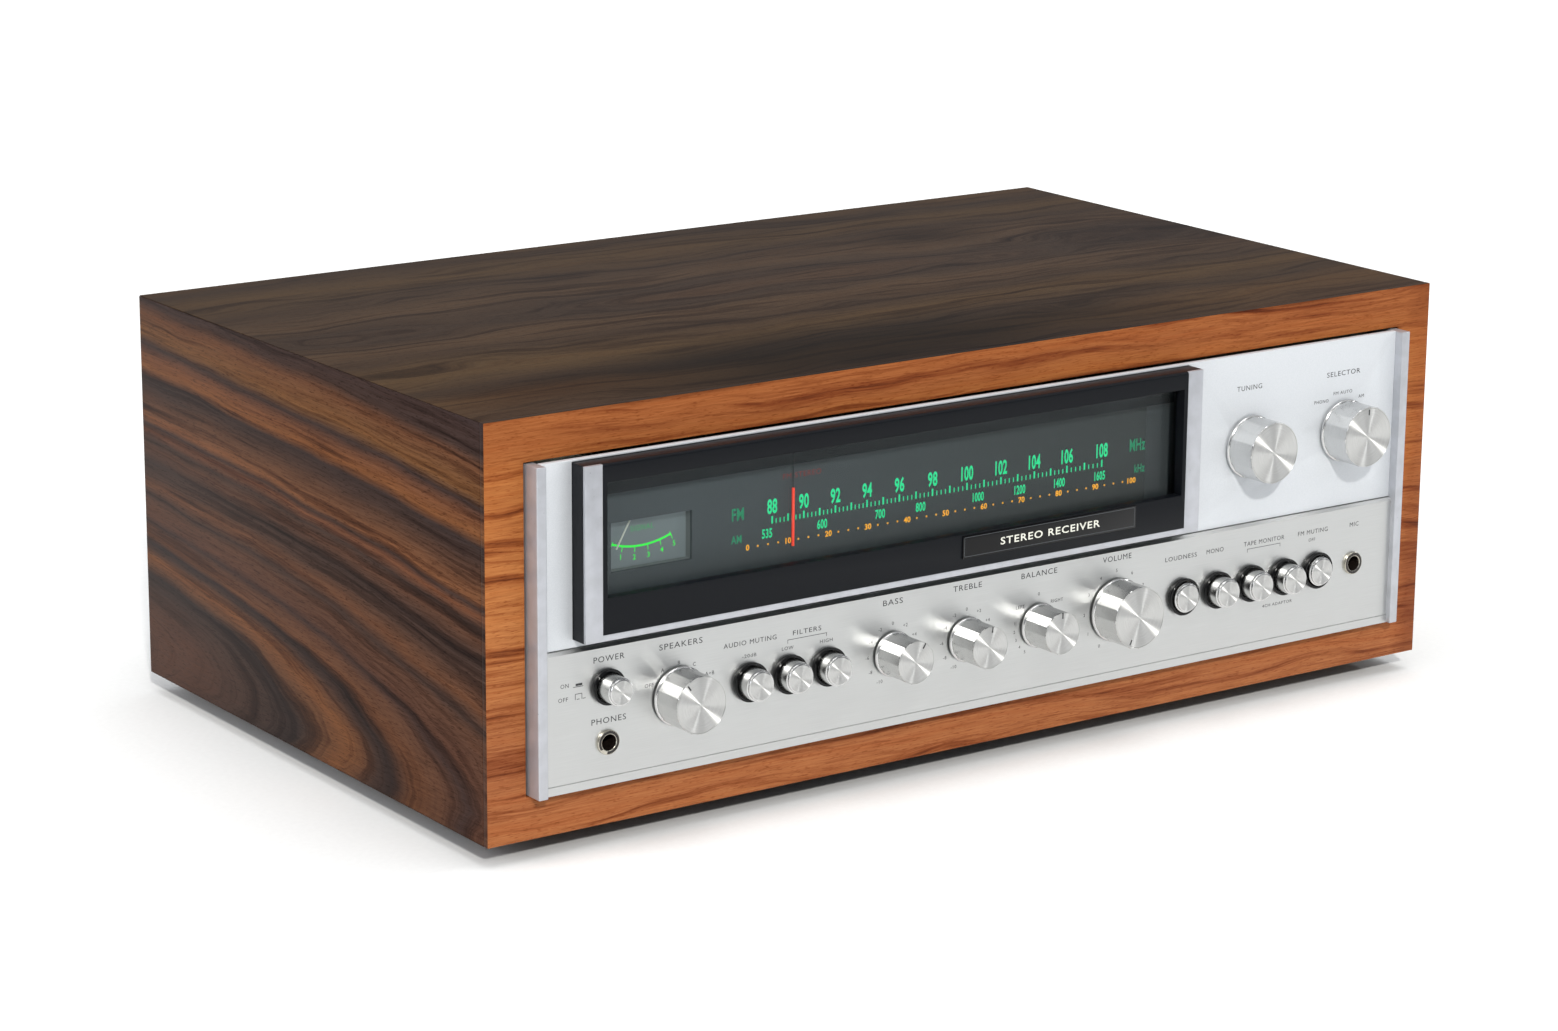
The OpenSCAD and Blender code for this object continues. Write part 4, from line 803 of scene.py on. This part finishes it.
panelBars = [
    (-202.9, 60.7, 3.0, 0.9), (-203.3, 59.9, 4.6, 0.25),
    (-203.3, 54.9, 1.3, 0.25), (-200.6, 54.9, 1.3, 0.25), (-203.1, 57.0, 3.1, 0.25),
    (-204.6, 55.9, 0.25, 2.3), (-201.6, 55.9, 0.25, 2.3),
    (-95.7, 62.4, 19.1, 0.22), (-105.2, 61.7, 0.22, 1.5), (-86.3, 61.8, 0.22, 1.5),
    (144.7, 63.6, 18.8, 0.22), (135.4, 62.9, 0.22, 1.5), (154.0, 62.9, 0.22, 1.5),
]
upperLabels = [
    ("TUNING", 134.9, 134.2, 2.1, 14.0), ("SELECTOR", 188.6, 134.0, 2.1, 19.2),
    ("PHONO", 176.3, 122.7, 1.4, 8.2), ("FM AUTO", 188.6, 125.4, 1.4, 10.8),
    ("AM", 199.4, 122.5, 1.4, 3.2), ("AUX", 207.0, 112.0, 1.4),
]
badge = {"words": "STEREO RECEIVER", "height": 2.9, "width": 52.0, "margin": 0.8, "line": 0.25,
         "shorter": 1.4}


def addPanelPrint():
    printPiece("lowerPanelPrint", "brushed_aluminium", ink, prints["lowerPlane"], panelLabels, panelBars)
    printPiece("upperPanelPrint", "satin_aluminium", ink, prints["upperPlane"], upperLabels)
    low, high = localBox("badge_plate")
    centre, size = (low + high) / 2, high - low
    printPiece("badgePrint", "satin_aluminium", made["needle_white"], low.y,
               [(badge["words"], centre.x, centre.z, badge["height"], badge["width"])], weight=0.015)
    bars = []
    for side in (-1, 1):
        bars += [(centre.x, centre.z + side * (size.z / 2 - badge["margin"]), size.x - badge["shorter"],
                  badge["line"]),
                 (centre.x + side * (size.x / 2 - badge["margin"]), centre.z, badge["line"],
                  size.z - badge["shorter"])]
    printPiece("badgeFrame", "black_plastic", rimAndShadeInk, low.y, bars=bars)


addPanelPrint()
print("panel print")

fmMarks = [(88, -107.9), (90, -92.6), (92, -77.2), (94, -61.6), (96, -45.5), (98, -28.8),
           (100, -11.2), (102, 6.3), (104, 23.7), (106, 40.9), (108, 59.5)]
amMarks = [(535, -110.3), (600, -83.6), (700, -55.0), (800, -34.7), (1000, -5.3),
           (1200, 16.3), (1400, 37.1), (1605, 58.6)]
# Below: the lower edge of the scale's painted shadow band, and the x where the painted shade on its right
# end begins
dial = {"plane": 2.0, "fmPlace": 115.8, "amPlace": 105.1, "tickPlace": 108.8,
        "wholeTick": (0.8, 3.0), "smallTick": (0.5, 1.9), "amberStart": -119.6, "amberPitch": 19.55,
        "amberPlace": 100.7, "dot": 0.42, "shadowBand": 131.5, "end": 83.0, "margin": 1.0, "topMargin": 0.2}


def along(marks, value):
    for (a, x), (b, nextX) in zip(marks, marks[1:]):
        if value <= b:
            return x + (nextX - x) * (value - a) / (b - a)


def addScale():
    plane, dot, rise = dial["plane"], dial["dot"] * mm, prints["rise"]
    ticks = []
    for i in range(81):  # four to each 1 MHz
        wide, tall = dial["smallTick"] if i % 4 else dial["wholeTick"]
        ticks.append((along(fmMarks, 88 + i / 4), dial["tickPlace"] + tall / 2, wide, tall))
    printPiece("greenScale", "scale_plate", greenLight, plane,
               [(str(n), x, dial["fmPlace"], 5.5, 4.8 if n < 100 else 6.1) for n, x in fmMarks]
               + [(str(n), x, dial["amPlace"], 3.5, 4.9 if n < 1000 else 5.7) for n, x in amMarks],
               ticks, spacing=1.05, weight=0.028)
    printPiece("scaleUnits", "scale_plate", dimGreenLight, plane,
               [("FM", -124.3, 114.8, 4.8, 5.7), ("AM", -125.0, 104.7, 3.2, 5.0),
                ("MHz", 78.6, 115.8, 5.0, 8.4), ("kHz", 80.1, 105.5, 3.4, 5.6)],
               spacing=1.05, weight=0.02)
    bm = bmesh.new()
    start, pitch, place = dial["amberStart"], dial["amberPitch"], dial["amberPlace"]
    printLabels(bm, [(str(n * 10), start + pitch * n, place, 2.2) for n in range(11)],
                plane + prints["sink"], 1.05, weight=0.03)
    for n in range(40):
        if n % 4:
            centre = at(start + pitch * n / 4, plane + prints["sink"] - rise / 2, place)
            ops.create_cone(bm, cap_ends=True, segments=12, radius1=dot, radius2=dot,
                            depth=rise * mm, matrix=Matrix.Translation(centre)
                            @ Matrix.Rotation(radians(90), 4, "X"))
    finish(bm, "amberScale", [amberLight])
    printPiece("stereoIndicator", "scale_plate", redLight, plane, [("FM STEREO", -93.6, 127.0, 2.1, 18.5)])
    low, high = localBox("dial_plate")
    left, right = low.x + dial["margin"], high.x - dial["margin"]
    bottom, top = low.z + dial["topMargin"], high.z - dial["topMargin"]
    for name, material, (x, z), (farX, farZ) in (
            # painted shadow along the top, where the bezel's top edge shades the scale
            ("scaleShadowBand", made["matt_border_ink"], (left, dial["shadowBand"]), (right, top)),
            # lighter painted shade on the right end, where the bezel's right side shades the scale
            ("scaleEndShade", rimAndShadeInk, (dial["end"], bottom), (right, dial["shadowBand"]))):
        bm = bmesh.new()
        blockBetween(bm, at(x, plane - rise, z), at(farX, plane - 0.001, farZ))
        finish(bm, name, [material])


addScale()

meter = {"face": 6.45, "wall": 2.05, "thick": 0.04, "top": 127.5, "centre": (-167.1, 146.7),
         "radius": 39.0, "line": 0.85, "ray": 0.16, "rayReach": 2.3, "stop": (-1.0, 0.8), "figures": 4.3,
         "marks": (-175.2, -169.5, -163.6, -158.0, -152.9), "ends": (-180.0, -153.0)}


def addMeter():
    low, high = localBox("meter_case")
    wall, face, thick, ray = [meter[key] for key in ("wall", "face", "thick", "ray")]
    bm = bmesh.new()
    blockBetween(bm, at(low.x + wall, face, low.z + wall), at(high.x - wall, face + thick, meter["top"]))
    finish(bm, "meterFace", [meterLight])
    centreX, centreZ = meter["centre"]
    radius, half = meter["radius"], meter["line"] / 2
    bm = bmesh.new()
    start, end = [asin((x - centreX) / radius) for x in meter["ends"]]  # from straight down
    sector = [bm.verts.new(at(centreX + (radius + d) * sin(start), face - thick / 2,
                              centreZ - (radius + d) * cos(start))) for d in (-half, half)]
    ops.spin(bm, geom=sector + [bm.edges.new(sector)], cent=at(centreX, 0, centreZ),
             axis=(0, -1, 0), angle=end - start, steps=36, use_duplicate=False)
    extrudeBy(bm, bm.faces[:], (0, thick * mm, 0))
    ops.recalc_face_normals(bm, faces=bm.faces)
    angles = [asin((x - centreX) / radius) for x in meter["marks"]]
    rays = [(a, (0.0, meter["rayReach"])) for a in angles] + [(a, meter["stop"]) for a in (start, end)]
    for angle, (inner, outer) in rays:
        turnedBlock(bm, (-ray, -thick / 2, -radius - outer), (ray, thick / 2, -radius - inner),
                    at(centreX, face, centreZ), -degrees(angle))
    reach = radius + meter["figures"]
    printLabels(bm, [(str(i + 1), centreX + reach * sin(a), centreZ - reach * cos(a), 2.0)
                     for i, a in enumerate(angles)], face - 0.01, weight=0.01)
    finish(bm, "meterScale", [meterGreen])
    printPiece("meterWord", "lamp_glass", meterWordGreen, face - thick / 2,
               [("SIGNAL", -166.2, 114.9, 2.1, 10.7)])


addMeter()

pointer = {"split": 122.8, "half": 0.5, "thick": 0.8, "edge": 0.12, "stem": 0.15, "stemDepth": (0.2, 0.6),
           "stemTop": 143.1, "arm": 1.0, "armReach": 6.6, "slider": 3.5}


def addPointer():
    low, high = localBox("dial_pointer")
    x, front = (low.x + high.x) / 2, low.y
    half, stem, split, top = [pointer[key] for key in ("half", "stem", "split", "stemTop")]
    near, far = [front + depth for depth in pointer["stemDepth"]]
    bm = bmesh.new()
    blockBetween(bm, at(x - half, front, low.z), at(x + half, front + pointer["thick"], split))
    soften(bm, pointer["edge"], least=40)
    wire = blockBetween(bm, at(x - stem, near, split), at(x + stem, far, top))
    wire += blockBetween(bm, at(x - stem, far, top - pointer["arm"]), at(x + stem, pointer["armReach"], top))
    wire = set(wire)
    for f in bm.faces:
        f.material_index = 1 if f.verts[0] in wire else 0
    slider = copyNode("dial_pointer")  # only the part that rides the rail, closed where it is cut
    cut = cutAcross(slider, at(0, pointer["slider"], 0), (0, -1, 0), clear_outer=True)
    ops.holes_fill(slider, edges=[g for g in cut if isinstance(g, bmesh.types.BMEdge)])
    for f in slider.faces:
        f.material_index = 2
    addMesh(bm, slider)
    finish(bm, "dialPointer", [pointerGlow, made["blackened_wire"], made["pulley_nylon"]],
           "dial_pointer", body="pointer")


addPointer()
print("dial")

rear = {"baseRadius": 6.5, "base": 3.0, "shell": 4.15, "shellLength": 9.0, "pin": 2.1, "pitch": 18.0,
        "headRadius": 3.0, "headHeight": 1.6, "slotWidth": 0.7, "screwPitch": 11.0,
        "screws": ((-214.5, 24), (-214.5, 139), (214.5, 24), (214.5, 139), (-20, 24), (60, 24),
                   (-141.5, 139)), "terminalHead": 2.9, "terminalSlot": 2.6}


def addRearSockets():
    low, high = localBox("input_jacks")
    shell, base, outer, pitch = [rear[key] for key in ("shell", "base", "baseRadius", "pitch")]
    end, pin = base + rear["shellLength"], rear["pin"]
    # Distances run towards the rear, as the sockets face that way
    profile = [(0, 0), (outer, 0), (outer, base - 0.4), (outer - 0.4, base), (shell, base),
               (shell, end - 0.3), (shell - 0.3, end), (shell - 0.55, end), (shell - 0.55, end - 0.5),
               (pin, end - 0.5), (pin, base + 1.5), (0, base + 1.5)]
    bm = bmesh.new()
    for i in range(round((high.x - low.x - 2 * outer) / pitch) + 1):
        for j in (0, 1):
            centre = at(low.x + outer + i * pitch, low.y, low.z + outer + j * pitch)
            one = bmesh.new()
            lathe(one, profile, centre, 40)
            paint(one, centre, lambda p, away: 0 if p.y < base + 0.01 and away > shell else 3 - j
                  if away < shell - 0.6 and p.y > base else 1)
            addMesh(bm, one)
    parts = [made[key] for key in ("bakelite", "nickel", "white_polythene", "red_polythene")]
    finish(bm, "rearSockets", parts, "input_jacks")


# Labels and lines (x, z and width), measured from the low corner of their fitting
rearLabels = {
    "input_jacks": ([
        (words, 6.5 + 18 * i, 33.8, 1.7) for i, words in enumerate((
            "REC", "PLAY", "REC", "PLAY", "AUX", "PHONO 2", "PHONO 1"))] + [
        ("TAPE 2", 15.5, 39.5, 2.2), ("TAPE 1", 51.5, 39.5, 2.2), ("L", 125.5, 24.5, 2.6),
        ("R", 125.5, 6.5, 2.6)], [(15.5, 36.8, 28), (51.5, 36.8, 28)]),
    "screw_terminals": ([
        ("GND", 227.5, 57, 1.7), ("AM", 238.5, 57, 1.7), ("FM 75", 249.5, 57, 1.7),
        ("FM 300", 266, 57, 1.7), ("ANTENNA", 249.5, 79, 2.4), ("SPEAKERS", 33, 38.5, 2.4),
        ("A", 49.5, 32, 2.2), ("B", 16.5, 32, 2.2), ("L", 71, 21, 2.2), ("R", 71, 7, 2.2)],
        [(16.5, 35, 29), (49.5, 35, 29)]),
    "mains_fittings": ([("AC OUTLETS", 17, 58.5, 2.2), ("FUSE", 68, 42, 2.2)], []),
}


def addRearPrint():
    labels, bars = [], []
    for node, (words, lines) in rearLabels.items():
        low = localBox(node)[0]
        labels += [(word, low.x + x, low.z + z, height) for word, x, z, height in words]
        bars += [(low.x + x, low.z + z, width, 0.3) for x, z, width in lines]
    printPiece("rearPrint", "grey_steel", made["white_printing_ink"], localBox("input_jacks")[0].y,
               labels, bars, facing=1, weight=0.012)


def addRearScrews():
    plane = localBox("input_jacks")[0].y
    radius, height, half = rear["headRadius"], rear["headHeight"], rear["slotWidth"] / 2
    head = [(0, 0), (radius, 0), (radius, 0.5), (radius * 0.8, 1.15), (radius * 0.45, height - 0.1),
            (0, height)]
    bm, slots = bmesh.new(), bmesh.new()
    for i, (x, z) in enumerate(rear["screws"]):
        lathe(bm, head, at(x, plane, z), 24)
        turnedBlock(slots, (-radius * 0.75, 1.0, -half), (radius * 0.75, height + 0.02, half),
                    at(x, plane, z), 25 + 47 * i)
    finish(bm, "rearScrews", [made["nickel"]])
    low, high = localBox("screw_terminals")
    pitch, reach = rear["screwPitch"], rear["terminalSlot"]
    spots = [(low.x + pitch * (i + 0.5), low.z + 7 + 14 * j) for i in range(6) for j in (0, 1)]
    spots += [(high.x - pitch * (i + 0.5), high.z - 7) for i in range(5)]
    for i, (x, z) in enumerate(spots):
        turnedBlock(slots, (-reach, -0.5, -half), (reach, 0.02, half), at(x, high.y, z), 10 + 61 * i)
    finish(slots, "rearSlots", [ink])
    bm = copyNode("screw_terminals")
    soften(bm, 0.4)
    paint(bm, at(0, 0, 0), lambda p, away: 1 if p.y > high.y - rear["terminalHead"] else 0)
    finish(bm, "screwTerminals", [made["bakelite"], made["nickel"]], "screw_terminals")


addRearSockets()
addRearPrint()
addRearScrews()
for node, name, width in (("rear_panel", "rearPanel", 0.15), ("rubber_feet", "rubberFeet", 0.8),
                          ("chassis_bolts", "chassisBolts", 0.3), ("mains_fittings", "mainsFittings", 0.4)):
    copyPiece(node, name, width)
copyPiece("ferrite_antenna", "ferriteAntenna", 0.5, body="antenna")
print("rear")

for name, slot in nodeSlots.items():
    node = frame["nodes"][name]
    if slot in made and not node.hide_render:
        node.data.materials.clear()
        node.data.materials.append(made[slot])
print("inside")
